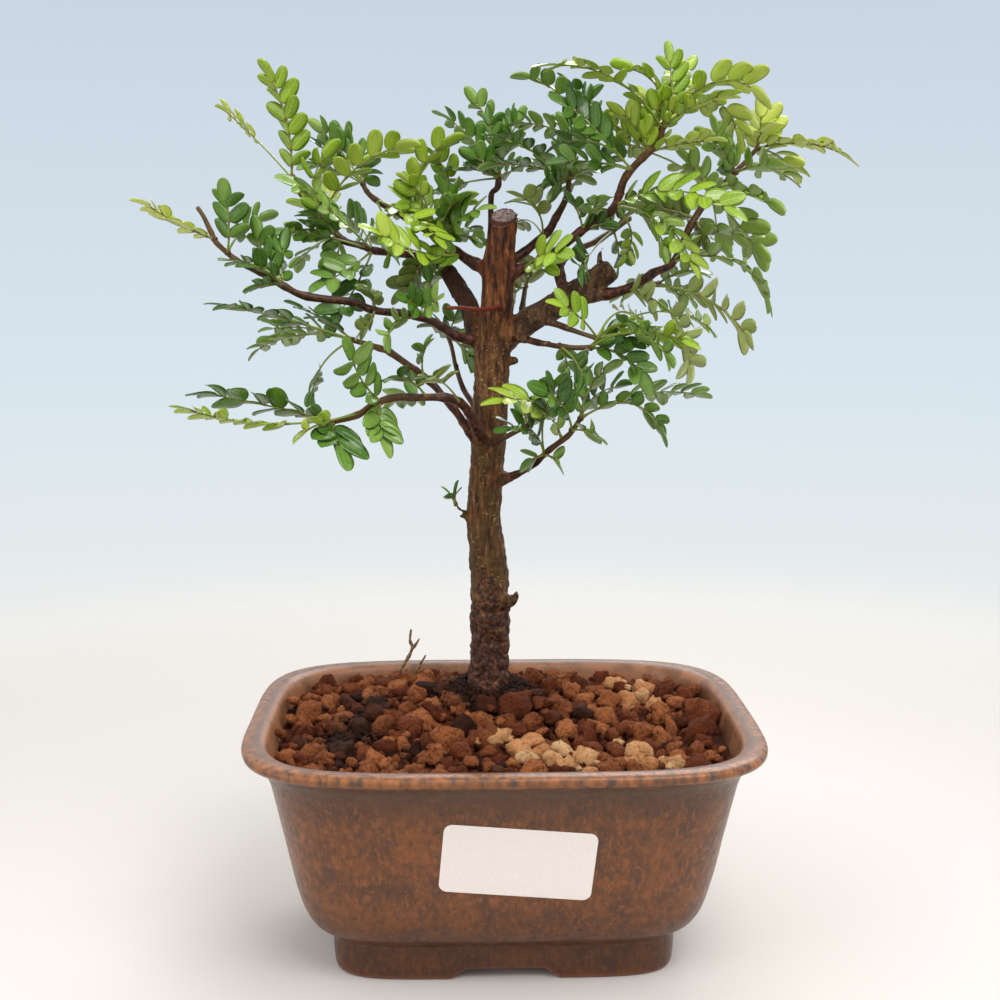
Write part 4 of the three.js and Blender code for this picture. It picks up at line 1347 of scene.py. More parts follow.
BRANCHES = {
    "leftLow": [(-5, 149, 14, 2.2), (-7, 152.8, 9, 1.7), (-8.6, 156, 6, 1.5), (-10.1, 159.1, 4, 1.4),
        (-12.8, 162.2, 2, 1.3), (-17.1, 163.6, 0, 1.25), (-25.7, 163.6, -4, 1.15),
        (-33.5, 163.2, -7, 1.1), (-38.1, 161.3, -9, 1), (-42.4, 158.7, -11, 0.95),
        (-49.5, 156.5, -13, 0.8)],
    "leftSecond": [(-6, 149, 14, 2), (-9.7, 153.6, 10, 1.4), (-15, 161, 9, 1.15),
        (-22.2, 169.1, 10, 1.1), (-25.3, 171.6, 10, 1.1), (-32.6, 176.7, 9, 1), (-35.7, 177.9, 8, 0.9),
        (-43.8, 180.3, 6, 0.8)],
    "leftLong": [(-3, 178, 17, 2.6), (-9.4, 180.3, 15, 1.8), (-14, 181.6, 13, 1.4),
        (-17.9, 184.3, 12, 1.3), (-24.1, 187, 10, 1.2), (-37.6, 188.9, 8, 1.1), (-43.4, 191.2, 7, 1.1),
        (-56.2, 192.7, 5, 1.1), (-62.3, 195.3, 3, 1), (-69.6, 199.5, 2, 0.9), (-76.1, 203, 1, 0.85),
        (-81.5, 207.7, 0, 0.75), (-83, 210.6, 0, 0.7), (-86.6, 217.5, 0, 0.6)],
    "leftHigh": [(-2, 199, 16, 2.4), (-8, 202, 17, 1.8), (-13.7, 205.5, 20, 1.3),
        (-19.5, 209.7, 25, 1.15), (-28, 215, 30, 1), (-36.4, 220, 34, 0.9), (-38.6, 222.2, 35, 0.85),
        (-39.8, 224.4, 36, 0.8)],
    "leftCrown": [(-15, 198.5, 25, 2), (-19, 202, 26, 1.4), (-25, 204, 27, 1.2),
        (-36.4, 205.5, 28, 1.15), (-40.2, 207, 28, 1.1), (-45.8, 208.6, 28, 1.05),
        (-49.2, 212.5, 28, 0.95), (-54.5, 218.5, 28, 0.9), (-57.5, 221.5, 28, 0.85),
        (-60, 226.5, 28, 0.8)],
    "rightFirst": [(-1, 197.5, 14, 2.6), (4.5, 200, 13, 1.8), (10.3, 202.6, 11, 1.45),
        (13.8, 204.4, 10, 1.35), (21.9, 211, 7, 1.25), (28, 215.2, 5, 1.25), (31, 217.1, 4, 1.2),
        (33, 221.5, 3, 1.15), (35.2, 227, 2, 1.1), (39.7, 231.9, 1, 1.05), (43.9, 236, 0, 1),
        (45.3, 241, 0, 0.9), (48.5, 244.8, 0, 0.8), (52, 248.8, 0, 0.75)],
    "rightSecond": [(-1, 201, 16, 2.2), (6, 205.3, 18, 1.3), (12.6, 211, 21, 1.2), (15, 215, 22, 1.15),
        (18.2, 221.8, 24, 0.95), (18.7, 227, 25, 0.85), (20.9, 236.4, 26, 0.8)],
    "rightThird": [(18, 193.5, 12, 1.9), (16.4, 198.5, 15, 1.6), (16.8, 202.7, 19, 1.3),
        (21.9, 206.1, 25, 1.1), (27.7, 209.1, 31, 1), (36.2, 214.8, 40, 0.8)],
    "rightLong": [(24, 193, 9, 2.2), (30.4, 193.4, 7, 1.7), (37, 195.4, 6, 1.35),
        (43.1, 199.2, 6, 1.25), (48.1, 201.8, 7, 1.15), (51.2, 206.8, 8, 1.1), (53.9, 213, 9, 1.05),
        (57.5, 219.1, 11, 1), (60.2, 222.3, 12, 0.9), (60.1, 226, 12, 0.65)],
    "rightShoot": [(60.2, 222, 12, 0.8), (66.5, 228, 18, 0.7), (72.6, 234.8, 23, 0.65)],
    "underLimb": [(2, 181.8, 14, 1.7), (9.9, 179.7, 5, 0.9), (17.3, 178.4, -2, 0.8),
        (25.8, 178, -8, 0.75)],
    "underLimbUpper": [(9.5, 186.8, 12, 1.5), (18, 183.9, 0, 0.8), (27.7, 180.5, -8, 0.7)],
    "rightLow": [(-1, 139.5, 15, 1.9), (3.9, 140.8, 11, 1.1), (9.7, 144.3, 7, 0.95),
        (13.8, 148.3, 3, 0.85), (18.8, 152.2, -1, 0.8), (22.9, 157.6, -4, 0.65)],
    "rightFork": [(-4.3, 149.8, 13, 1.4), (-1.4, 151.2, 8, 0.9), (7.2, 155.2, -3, 0.7)],
    "backUpright": [(-2.6, 197, 18, 1.3), (-3.4, 212, 26, 0.95), (-3.5, 221, 30, 0.8),
        (-1.4, 224.4, 31, 1), (-1.6, 234.9, 33, 0.6), (-2.3, 239.4, 34, 0.55)],
    "backLeft": [(-5, 158, 20, 1.1), (-11.5, 166, 32, 0.8), (-15.7, 181.4, 40, 0.6)],
    "backRight": [(4.5, 184, 16, 1.1), (5.6, 190, 27, 0.8), (6.5, 196, 36, 0.7)],
    "farRight": [(43.1, 199, 6.4, 0.9), (42, 197, 28, 0.7), (45, 196.5, 46, 0.65)],
    "frontThin": [(0, 189.2, 13, 0.7), (-2, 189.5, 9, 0.65), (-7.5, 189, 4, 0.6),
        (-16.4, 189.5, -4, 0.5)],
}
STUBS = {
    "limbStub": [(27.6, 199, 9.5, 0.9), (27.9, 205, 9, 0.65), (28.9, 206.8, 9, 0.55)],
    "limbSpur": [(6.6, 186.5, 13, 0.9), (7.2, 189.8, 12.5, 0.5)],
    "brokenChip": [(0, 102.5, 16, 2.6), (3.2, 103.3, 12.8, 1.7), (4.3, 105.2, 12, 0.7)],
    "leftKnot": [(-8, 127.5, 17, 1.8), (-12.6, 128.6, 15, 0.7)],
    "sproutStem": [(-8, 129, 16.5, 1), (-12.3, 130.4, 14, 0.6), (-14, 132.3, 13, 0.5)],
    "roundStub": [(0.8, 174, 14.5, 1.5), (3.9, 174.3, 13, 1.2)],
}

# The sprays of leaves: tone, the bud's x, z and y, and for each leaf the tip's x, z and y, the
# bow of its stalk, its roll towards the front, its pairs of leaflets and their length
SPRAYS = {
    "leftCrown": ("young", (-60, 226, 28), ((-67.5, 257.5, 20, 2.5, 72, 6, 8),
        (-79.5, 245.5, 55, 0.5, 20, 4, 5.5))),
    "upperLeft": ("mature", (-39.8, 224.2, 36), ((-47.5, 240.5, 44, 1, 50, 3, 6.5),
        (-57.5, 229.5, 52, 1.5, 15, 3, 6), (-55, 236.5, 64, 1, 20, 4, 5.5))),
    "upperLeftLime": ("young", (-36.2, 219.8, 34), ((-17, 207.5, 2, 1.5, -35, 5, 6.8),)),
    "leftTip": ("young", (-82.2, 208.8, 0), ((-104, 220.6, -8, -1, 20, 5, 6.4),)),
    "leftTipUp": ("mature", (-78.6, 205, 0), ((-79.5, 224.5, -8, 1, 75, 3, 6.8),
        (-65.5, 215.8, 10, 2, 55, 3, 6.2))),
    "leftMiddle": ("mature", (-63, 195.8, 3), ((-80, 203, -10, 2, 35, 3, 7.2),
        (-61.5, 210, 8, 1, 60, 3, 6.2), (-70, 214, 16, -2, 55, 3, 6.8), (-74, 194, 34, 1, 25, 3, 5.6))),
    "leftCluster": ("mature", (-46.8, 209.7, 28), ((-64, 209.5, 42, 2, 40, 4, 7),
        (-57.5, 217, 12, 1, 60, 3, 7), (-53, 197.5, 18, -2, 60, 3, 7))),
    "leftLime": ("young", (-51.4, 215, 28), ((-24.5, 235.5, 12, 5, 55, 5, 8.4),)),
    "leftInner": ("mature", (-37.4, 205.8, 28), ((-50.5, 183.5, 2, -1, -65, 4, 8.8),
        (-62.6, 226.3, 2, 1, -25, 5, 6.5))),
    "leftSecondEnd": ("mature", (-43.4, 180.2, 6), ((-84, 190.8, -14, 1, 20, 5, 6.8),
        (-73.5, 176, 14, 3.5, 22, 4, 6.2))),
    "leftLowMiddle": ("mature", (-35.5, 162.3, -7.9), ((-44.5, 179.8, -24, -2, -78, 4, 7.8),
        (-31.6, 148.5, -18, -2.5, -75, 4, 7.4))),
    "leftOlive": ("olive", (-37, 189, 8), ((-43.5, 181.5, -4, -1.5, 50, 3, 4.8),
        (-42, 195.5, 22, 1.5, -45, 3, 5.6))),
    "leftLowEnd": ("mature", (-49.3, 156.6, -13), ((-90, 165.6, -32, 0.5, 26, 6, 9.2),
        (-44.3, 145.3, -26, -1.5, -80, 3, 9.6))),
    "leftLowLime": ("young", (-42.4, 158.7, -11), ((-95.5, 161.5, 2, -4, 15, 6, 6.8),
        (-61, 152, 12, 1, 30, 3, 6))),
    "leftLowInner": ("mature", (-22.5, 163.9, -3), ((-34.5, 169, -18, 2.5, 45, 3, 6),)),
    "leftLowBack": ("olive", (-12.4, 161.8, 3), ((-21.5, 170.5, -4, 1, 60, 3, 6.4),)),
    "leftSecondMiddle": ("mature", (-23, 169.7, 10), ((-20.5, 181, 0, 1.5, 35, 2, 5.4),)),
    "backLeftTip": ("mature", (-15.6, 181, 40), ((-23.5, 184.5, 52, 1, 25, 2, 5.6),
        (-11, 189.5, 54, 1, 60, 2, 5.8), (-9, 171, 56, 2, 65, 3, 6.6))),
    "leftRosette": ("mature", (-23.5, 186.8, 10.2), ((-17.5, 192.5, -8, 1, -70, 3, 5.6),
        (-29.5, 192.8, -4, 1, -60, 2, 5.6), (-34, 177.5, 34, 3.5, 55, 4, 5.6))),
    "centreLime": ("young", (-12, 204.5, 19.2), ((-38.5, 213, -2, -3, -50, 5, 8.4),)),
    "leftDark": ("olive", (-22, 203, 26.5), ((-31.5, 192, 36, -1, 75, 3, 7.4),
        (-25, 192, 54, 2, 60, 3, 6.8))),
    "centreTall": ("young", (-21.8, 211.2, 26.5), ((-10.5, 238.5, 6, 8, 55, 4, 7.8),
        (-31, 226.5, 14, 4, 30, 2, 5.6))),
    "centreBud": ("mature", (-17.5, 208.3, 23.4), ((-3, 218, 2, 2.5, -40, 4, 6.8),
        (-9.5, 222, 34, 3, 45, 3, 6.8))),
    "backTop": ("mature", (-1.4, 226, 31.3), ((-10.5, 250, 46, 3, 65, 5, 6.2),
        (-18, 228.5, 16, 1.5, 15, 3, 5.6), (-22.5, 221, 52, 1, 20, 4, 5.6),
        (-3.4, 246, 26, -1, 60, 3, 5.4), (6, 245, 54, 1, 40, 3, 5.6))),
    "rightSecondTop": ("mature", (18.6, 226, 24.8), ((-5.2, 238, 8, 2, 25, 4, 6.6),
        (-6.5, 229.3, 36, 2, 28, 4, 6.4), (23.5, 231, 10, -1, 70, 2, 6.8),
        (10.5, 223.5, 12, 1, 60, 2, 6.2))),
    "rightSecondEnd": ("mature", (20.8, 236, 26), ((1.5, 254.2, 10, 6, 45, 4, 7),
        (2, 241, 44, 2, 45, 4, 6.2))),
    "rightSecondLow": ("olive", (11.3, 209.9, 20.5), ((1.5, 221.5, 44, 3.5, 60, 3, 6.4),)),
    "rightFirstLow": ("young", (6, 200.8, 12.5), ((19, 204.7, -14, 2, -50, 3, 7.4),)),
    "rightGloss": ("mature", (36.5, 228.4, 1.6), ((14.5, 249, -14, 1, -50, 5, 7),
        (12.5, 234.3, 24, 5, 35, 5, 6.8))),
    "rightInnerLime": ("young", (41.5, 233.4, 0.6), ((29.5, 246, 22, 2, 55, 4, 6.4),
        (62, 236.5, 28, 1, 30, 5, 6.4), (23, 243, 42, 2, 35, 4, 6.4), (46, 251, 40, 1, 45, 3, 6.4))),
    "rightTopLime": ("young", (45.1, 240, 0), ((9, 256.8, -12, 6.5, 28, 6, 7.2),
        (66, 249.8, -16, 2, 30, 5, 6.8))),
    "rightTopUpright": ("young", (48, 244.2, 0), ((45.8, 262.6, 8, 0.5, 75, 4, 6.6),)),
    "rightTopEnd": ("young", (52, 248.6, 0), ((76, 246, -10, 6, 50, 4, 8.4),)),
    "rightLimeEnd": ("young", (72.4, 234.6, 23), ((101, 231.3, 8, 3, 20, 6, 7.6),
        (72, 249, 34, 1, 70, 3, 8))),
    "rightShootMiddle": ("mature", (66.4, 227.9, 17.9), ((80, 229, 2, 1.5, 60, 2, 8.4),
        (84.3, 224, 66, 3, 30, 3, 6.4), (60.5, 243.5, 38, -2, 55, 4, 6.4))),
    "rightFrontLong": ("young", (31.6, 218.4, 3.8), ((68.5, 214.8, -24, 6, -42, 6, 7.8),
        (47, 202.5, -8, 4.5, 60, 4, 5.4))),
    "rightFirstMiddle": ("mature", (22.8, 211.5, 6.7), ((29.5, 221.5, -8, 1, 50, 2, 5.8),
        (17.5, 222, 0, 1, 45, 2, 5.2))),
    "rightOlive": ("olive", (54.8, 214.8, 9.6), ((36, 217.5, 28, 1.5, 60, 5, 6.8),
        (57.5, 206, 22, 1, 60, 2, 6))),
    "rightLongEnd": ("mature", (59.4, 221.4, 11.7), ((75.5, 202.3, 26, 1, 55, 4, 8.6),
        (79.8, 216.5, -8, 3, 30, 3, 7.2), (50, 233, 22, 1, 55, 3, 6.4))),
    "rightArching": ("mature", (48.6, 202.5, 7.1), ((78.5, 186.3, -18, 9, 22, 6, 7.8),)),
    "farRightPale": ("mature", (44.8, 196.5, 45), ((59.5, 200, 53, 1.5, 40, 4, 6.2),
        (53.5, 190.5, 42, 1, 50, 3, 5.8))),
    "rightDroop": ("olive", (36, 195, 6.2), ((73, 178, -36, 7, 50, 5, 7.4),
        (44.5, 188.5, 34, 1, 60, 3, 6.8))),
    "underLimbEnd": ("young", (27.4, 180.6, -7.9), ((56.8, 178.3, -28, 3, 30, 5, 6.8),
        (62.3, 182.3, 8, 7, -35, 5, 6.2), (14, 191.5, -24, 1.5, -55, 3, 6.2))),
    "underLimbFront": ("mature", (25.4, 178, -7.7), ((42.3, 165.2, -22, 4, -60, 4, 7.2),
        (49.8, 172.5, -40, 7, 40, 4, 6.2))),
    "underLimbHanging": ("mature", (16.4, 178.6, -1), ((24, 167, -12, 1.5, 60, 3, 6.4),)),
    "rightLowEnd": ("mature", (22.7, 157.4, -4), ((36.5, 167, 10, 3, 55, 4, 6.4),
        (48.6, 148.5, -16, 9, 35, 5, 6.4), (59.8, 163.8, 24, 4, 35, 6, 6.6),
        (34, 173.5, -6, 3, 45, 4, 6.4))),
    "rightLowDark": ("mature", (20.2, 154, -2), ((8.5, 166.5, -18, 3, -62, 3, 7.4),
        (28.8, 151.5, 8, 1, 30, 2, 5.8))),
    "rightLowLime": ("young", (17.4, 151.1, 0.2), ((-5.5, 160.4, -15, 7, -38, 5, 8.2),)),
    "rightLowInner": ("mature", (12.2, 146.8, 4.4), ((-2, 153.2, -18, 5, -50, 4, 6.8),
        (6, 142, 18, 1, 50, 1, 5.8), (16.8, 142.5, 20, 1, 50, 1, 5.6))),
    "forkEnd": ("mature", (7, 155.1, -2.8), ((4, 161, -10, 1, 50, 1, 6),
        (11.5, 159.5, -10, 1, 50, 1, 5.8))),
    "backRightEnd": ("olive", (6.4, 195.6, 35.6), ((13.5, 203.5, 50, 1, 60, 3, 6.8),
        (2.5, 191.5, 54, 1, 60, 2, 6.6))),
    "rightThird": ("mature", (31.5, 211.6, 35), ((32.5, 220, 64, 1, 60, 3, 7),
        (21.5, 199, 26, 1, 60, 3, 6.8), (45, 223, 52, 1, 50, 3, 6.6))),
    "trunkSprout": ("mature", (-13.8, 132, 13.2), ((-18, 132.5, 8, 2.5, 35, 1, 4.8),
        (-12.3, 137, 6, 1, 40, 1, 4.8))),
}


# More leaves for some of the sprays, in rows like theirs, where the crown is thick
MORE = {
    "upperLeft": ((-53.7, 241.3, 48, 1, 35, 4, 6.6), (-42.8, 233.7, 20, 2, 50, 4, 6.8)),
    "leftLime": ((-60, 218.4, 30, 1, 40, 3, 6.6), (-52.6, 223.7, 44, 2, 40, 4, 6.6)),
    "leftInner": ((-47, 215.9, 46, 2, 50, 4, 6.8),),
    "centreTall": ((-7.8, 222.2, 16, 1, 35, 4, 6.8), (-27.9, 226.5, 40, 2, 40, 4, 6.6),
        (-31.6, 222.6, 20, 1, -40, 3, 6.6)),
    "leftDark": ((-37.5, 208.6, 44, 1, 40, 3, 6.6),),
    "centreBud": ((-18.9, 226, 20, 3, 40, 4, 6.8), (-7.2, 212.1, 36, 1, 40, 3, 6.4)),
    "backTop": ((-18.5, 244.2, 40, 2, 40, 4, 6.2), (5.8, 237.2, 22, 2, 30, 4, 6.4),
        (4.7, 227.8, 44, 1, 40, 2, 6.4), (-11.7, 233.2, 26, 1, 50, 3, 6.2)),
    "rightSecondTop": ((10.4, 231.1, 30, 3, 40, 4, 6.6), (12.7, 221.1, 14, 1, 40, 3, 6.6)),
    "rightSecondEnd": ((26.7, 251, 34, 2, 40, 4, 6.6), (29.4, 236.7, 10, 2, 45, 3, 6.4),
        (15.9, 247.7, 30, 4, 35, 4, 6.4)),
    "rightInnerLime": ((38.6, 250, 12, 2, 50, 4, 6.8), (29.2, 233.4, 14, 2, 50, 3, 6.4)),
    "rightTopEnd": ((57.2, 244.6, 12, 2, 45, 2, 7.2),),
    "rightShootMiddle": ((68, 234.1, 10, 2, 40, 2, 6.8), (55.9, 239.1, 24, 1, 50, 4, 6.8)),
    "rightLimeEnd": ((84.1, 225.8, 36, 2, 25, 4, 7), (77.3, 240.3, 10, 2, 45, 3, 7.4)),
    "leftLowInner": ((-33.4, 161.7, 8, 1, 40, 3, 6.2),),
    "leftRosette": ((-16.1, 202.5, 22, 2, 40, 3, 6),),
    "leftSecondEnd": ((-69.4, 183.1, 22, 2, 30, 4, 6.4),),
    "farRightPale": ((31.5, 191.2, 40, 1, 40, 3, 6),),
    "rightLowInner": ((18.3, 171, -16, 3, 40, 4, 6.8),),
}

# How much lighter or darker than its tone a spray is
LIGHTER = {
    "rightShootMiddle": 0.4,
    "rightLongEnd": 0.7,
    "rightArching": 0.8,
    "rightDroop": 0.35,
    "rightLimeEnd": 0.4,
    "rightTopEnd": 0.1,
    "leftTip": 0.2,
    "rightFrontLong": -0.35,
    "rightFirstLow": -0.3,
    "rightLowLime": -0.15,
    "upperLeftLime": -0.2,
    "centreLime": -0.2,
    "centreTall": -0.15,
    "leftCrown": -0.1,
    "farRightPale": 0.3,
}


@dataclass(frozen=True)
class Course:
    """The course of a leaf's stalk: a quadratic curve through base, middle and tip, with a frame."""

    base: Array
    middle: Array
    tip: Array
    upright: float
    roll: float

    @classmethod
    def of(cls, bud: Row, leaf: Row, swing: float, before_twig: float, deepest: float) -> Course:
        """Works the curve out from the table.

        Args:
            bud: x, z and y of the bud, as seen.
            leaf: tip x, tip z, tip y, bow, roll, pairs and leaflet length.
            swing: how far back the tip has moved, in millimetres.
            before_twig: how far the solid model's bud stands before its twig.
            deepest: the furthest a tip may reach forwards or back.

        Returns:
            The course.
        """
        bud_x, bud_z, bud_y = bud
        tip_x, tip_z, tip_y, bow, roll = leaf[:5]
        depth = min(max(tip_y + swing, -deepest), deepest)
        middle_of_bud = seen(np.array([bud_x, bud_z, bud_y]))
        base = middle_of_bud + unit(EYE - middle_of_bud) * before_twig
        tip = seen(np.array([tip_x, tip_z, depth]))
        run_x, run_z = tip_x - bud_x, tip_z - bud_z
        side = 1.0 if run_x >= 0 else -1.0
        lift = 2.0 * bow * side / math.hypot(run_x, run_z)
        middle_x = (bud_x + tip_x) / 2 - lift * run_z
        middle_z = (bud_z + tip_z) / 2 + lift * run_x
        middle = seen(np.array([middle_x, middle_z, (bud_y + depth) / 2]))
        upright = -1.0 if np.cross(EYE - base, tip - base)[2] < 0 else 1.0
        return cls(base, middle, tip, upright, math.radians(roll))

    @property
    def chord(self) -> float:
        """The straight distance from base to tip."""
        return float(np.linalg.norm(self.tip - self.base))

    def at(self, share: Array) -> tuple[Array, Array, Array, Array]:
        """The point, and the directions ahead, across the blade and out of its face, at each share.

        Args:
            share: places along the chord, from 0 to 1.

        Returns:
            The points, and the three directions at each.
        """
        t = np.atleast_1d(np.asarray(share, float))[:, None]
        point = self.base * (1 - t) ** 2 + self.middle * 2 * t * (1 - t) + self.tip * t**2
        ahead = unit((self.middle - self.base) * (1 - t) + (self.tip - self.middle) * t)
        front = EYE - point
        front = unit(front - ahead * np.sum(front * ahead, -1, keepdims=True))
        above = np.cross(front, ahead) * self.upright
        span = front * math.cos(self.roll) + above * math.sin(self.roll)
        face = above * math.cos(self.roll) - front * math.sin(self.roll)
        return point, ahead, span, face


@dataclass
class Sprays:
    """All the leaves: each spray of the table is a piece, with its leaflets in pairs along a stalk."""

    nodes: dict[str, bpy.types.Object]
    before_twig: float = 2.3
    deepest: float = 53.0
    blade_half: float = 0.35
    lean: float = 40.0
    fold: float = 24.0
    full_fold_at: float = 55.0
    twist: float = 19.0
    slimness: float = 0.56
    thickness: float = 0.2
    most_companions: int = 2
    flatter: float = 0.78
    first_seed: int = 100
    crown_left: float = -58.0
    crown_right: float = 62.0
    crown_low: float = 176.0

    # How far back a solid leaf's tip may have moved, in the order in which they are tried
    SWINGS = (0, 6, -6, 12, -12, 18, -18, 25, -25, 33, -33, 42, -42)
    # Where a leaflet's rings stand along its length
    STEPS = (0.012, 0.06, 0.16, 0.3, 0.46, 0.62, 0.77, 0.89, 0.965, 0.995)
    # A ring's corners across the half width: over the face, then back under it
    OVER = (-1.0, -0.55, 0.0, 0.55, 1.0, 0.5, 0.0, -0.5)
    ON_FACE = 5

    def course(self, name: str, bud: Row, leaf: Row) -> Course:
        """The course whose end leaflet lies where the solid spray has it.

        Args:
            name: the spray's name in the table.
            bud: x, z and y of its bud, as seen.
            leaf: the leaf's row in the table.

        Returns:
            That course, with a little less roll than the table gives.
        """
        corners = corners_of(self.nodes[f"spray_{name}"].data)

        def miss(swing: float) -> float:
            """How far the end leaflet's point is from the nearest corner of the solid.

            Args:
                swing: how far back the tip has moved.

            Returns:
                That distance in millimetres.
            """
            course = Course.of(bud, leaf, swing, self.before_twig, self.deepest)
            share = min(1.0 + 0.2 * leaf[6] / course.chord, 1.15)
            point, _, _, face = course.at(np.array([share]))
            ends = np.concatenate([point + face * self.blade_half, point - face * self.blade_half])
            return float(np.linalg.norm(corners[:, None] - ends[None], axis=-1).min())

        swing = min(self.SWINGS, key=miss)
        flatter = (*leaf[:4], leaf[4] * self.flatter, *leaf[5:])
        return Course.of(bud, flatter, swing, self.before_twig, self.deepest)

    def companions(self, bud: Row, leaves: tuple[Row, ...], draw: np.random.Generator) -> list[Row]:
        """Smaller leaves behind those of the table, from the same bud and turned a little about it.

        Args:
            bud: x, z and y of the bud, as seen.
            leaves: the spray's rows in the table.
            draw: the random draws.

        Returns:
            Rows like the table's.
        """
        rows = []
        for tip_x, tip_z, tip_y, bow, roll, pairs, length in leaves[: self.most_companions]:
            turn = math.radians(draw.uniform(26, 50)) * draw.choice((-1, 1))
            grow = draw.uniform(0.62, 0.88)
            run_x, run_z = (tip_x - bud[0]) * grow, (tip_z - bud[1]) * grow
            x = bud[0] + run_x * math.cos(turn) - run_z * math.sin(turn)
            z = bud[1] + run_x * math.sin(turn) + run_z * math.cos(turn)
            z = min(z, max(tip_z, bud[1]))
            if math.hypot(run_x, run_z) > 9.0:
                y = tip_y + draw.uniform(6, 20)
                rows.append((x, z, y, bow, roll * 0.7, max(pairs - 1, 2), length * 0.9))
        return rows

    def crowded(self, bud: Row) -> bool:
        """Whether a bud is in the thick of the crown, where leaves hide behind leaves."""
        return self.crown_left < bud[0] < self.crown_right and bud[1] > self.crown_low

    def leaflets(
        self, origin: Array, ahead: Array, side: Array, length: Array, draw: np.random.Generator
    ) -> Array:
        """Oval leaflets: a closed lens, creased along the midrib and arched along its length.

        Args:
            origin: where each leaflet joins its stalk.
            ahead: the direction that each points in.
            side: the direction across each, in its blade.
            length: the length of each.
            draw: the random draws.

        Returns:
            Rings as (leaflet, ring, corner, 3).
        """
        up = np.cross(ahead, side)
        u = np.asarray(self.STEPS)[:, None]
        v = np.asarray(self.OVER)[None]
        below = np.arange(len(self.OVER)) >= self.ON_FACE
        half = (1.0 - np.abs(2 * u**0.88 - 1.0) ** 2.5) ** 0.56 * self.slimness / 2
        many = len(length)
        crease = draw.uniform(0.1, 0.34, (many, 1, 1))
        arch = draw.uniform(0.02, 0.16, (many, 1, 1))
        wave = draw.uniform(-0.03, 0.03, (many, 1, 1))
        notch = 0.035 * eased((u - 0.88) / 0.1) * (1.0 - np.abs(v))
        x = u - notch
        rise = np.abs(v) * half * crease - arch * u**2 + wave * np.sin(7.0 * u + 2.0) * v
        size = length[:, None, None]
        z = rise * size - below * self.thickness * (1.0 - v**2)
        local = np.stack([x * size, half * v * size, z], -1)
        frame = np.stack([ahead, side, up], 1)
        return origin[:, None, None] + np.einsum("nlsk,nkj->nlsj", local, frame)

    def leaf(
        self, skin: Skin, course: Course, twig: Array, leaf: Row, draw: np.random.Generator, lighter: float
    ) -> None:
        """Adds one leaf to a skin: the stalk from the twig, the pairs, and the end leaflet.

        Args:
            skin: the spray's surfaces.
            course: the course of the stalk.
            twig: the middle of the twig, where the stalk starts.
            leaf: the leaf's row in the table.
            draw: the random draws.
            lighter: how much lighter than its tone the spray is.
        """
        pairs, length = int(leaf[5]), leaf[6]
        chord = course.chord
        pairs += chord > 5.2 * length
        end = chord - 0.8 * length
        last = end - 0.22 * length
        step = min(0.62 * length, (last - max(1.6, 0.1 * chord)) / max(pairs - 1, 1))
        spots = last - step * np.arange(pairs)[::-1]
        spots = spots[spots > 1.2]
        joints = np.append(spots, end)
        shift = (twig - course.base)[None]

        def along(distance: Array) -> tuple[Array, Array, Array, Array]:
            """The course at distances from its base, drawn back to the middle of the twig.

            Args:
                distance: those distances in millimetres.

            Returns:
                The points, and the directions ahead, across the blade and out of its face.
            """
            share = distance / chord
            point, ahead, span, face = course.at(share)
            drawn = shift * (1.0 - np.clip(share, 0, 1)[:, None]) ** 3
            return point + drawn, ahead, span, face

        walk = np.linspace(0.0, end + 0.3, 26)
        path = along(walk)[0]
        radii = np.interp(walk, [0, 1.5, end], [0.5, 0.36, 0.22])
        joint = np.exp(-((np.abs(walk[:, None] - joints[None]).min(axis=1) / 0.45) ** 2))
        joint = np.maximum(joint, eased(1.0 - walk / 1.6))
        stalk = tube(path, radii * (1 + 0.5 * joint), 6)
        skin.add(stalk, tint=0.6, along=0.0, across=0.0, stalk=1.0, joint=joint[:, None] * 0.9)

        feet = np.concatenate([spots, spots, [end]])
        point, ahead, span, face = along(feet)
        count = len(spots)
        many = 2 * count + 1
        hand = np.concatenate([np.ones(count), -np.ones(count), [0.0]])[:, None]
        forward, across = self._pointed(ahead, span, face, hand, leaf[4], draw)
        rank = feet / max(end, 1e-6)
        taper = 0.8 + 0.26 * np.sin(np.clip(rank, 0, 1) * 2.6)
        sizes = length * taper * draw.uniform(0.9, 1.08, many)
        sizes[-1] = length * draw.uniform(0.95, 1.1)
        origin = point + forward * 0.25
        tint = lighter + draw.uniform(0.1, 0.62) + draw.uniform(-0.16, 0.16, (many, 1, 1))
        skin.add(
            self.leaflets(origin, forward, across, sizes, draw),
            tint=tint + 0.16 * rank[:, None, None],
            along=np.asarray(self.STEPS)[None, :, None],
            across=np.asarray(self.OVER)[None, None],
            stalk=0.0,
            joint=0.0,
        )

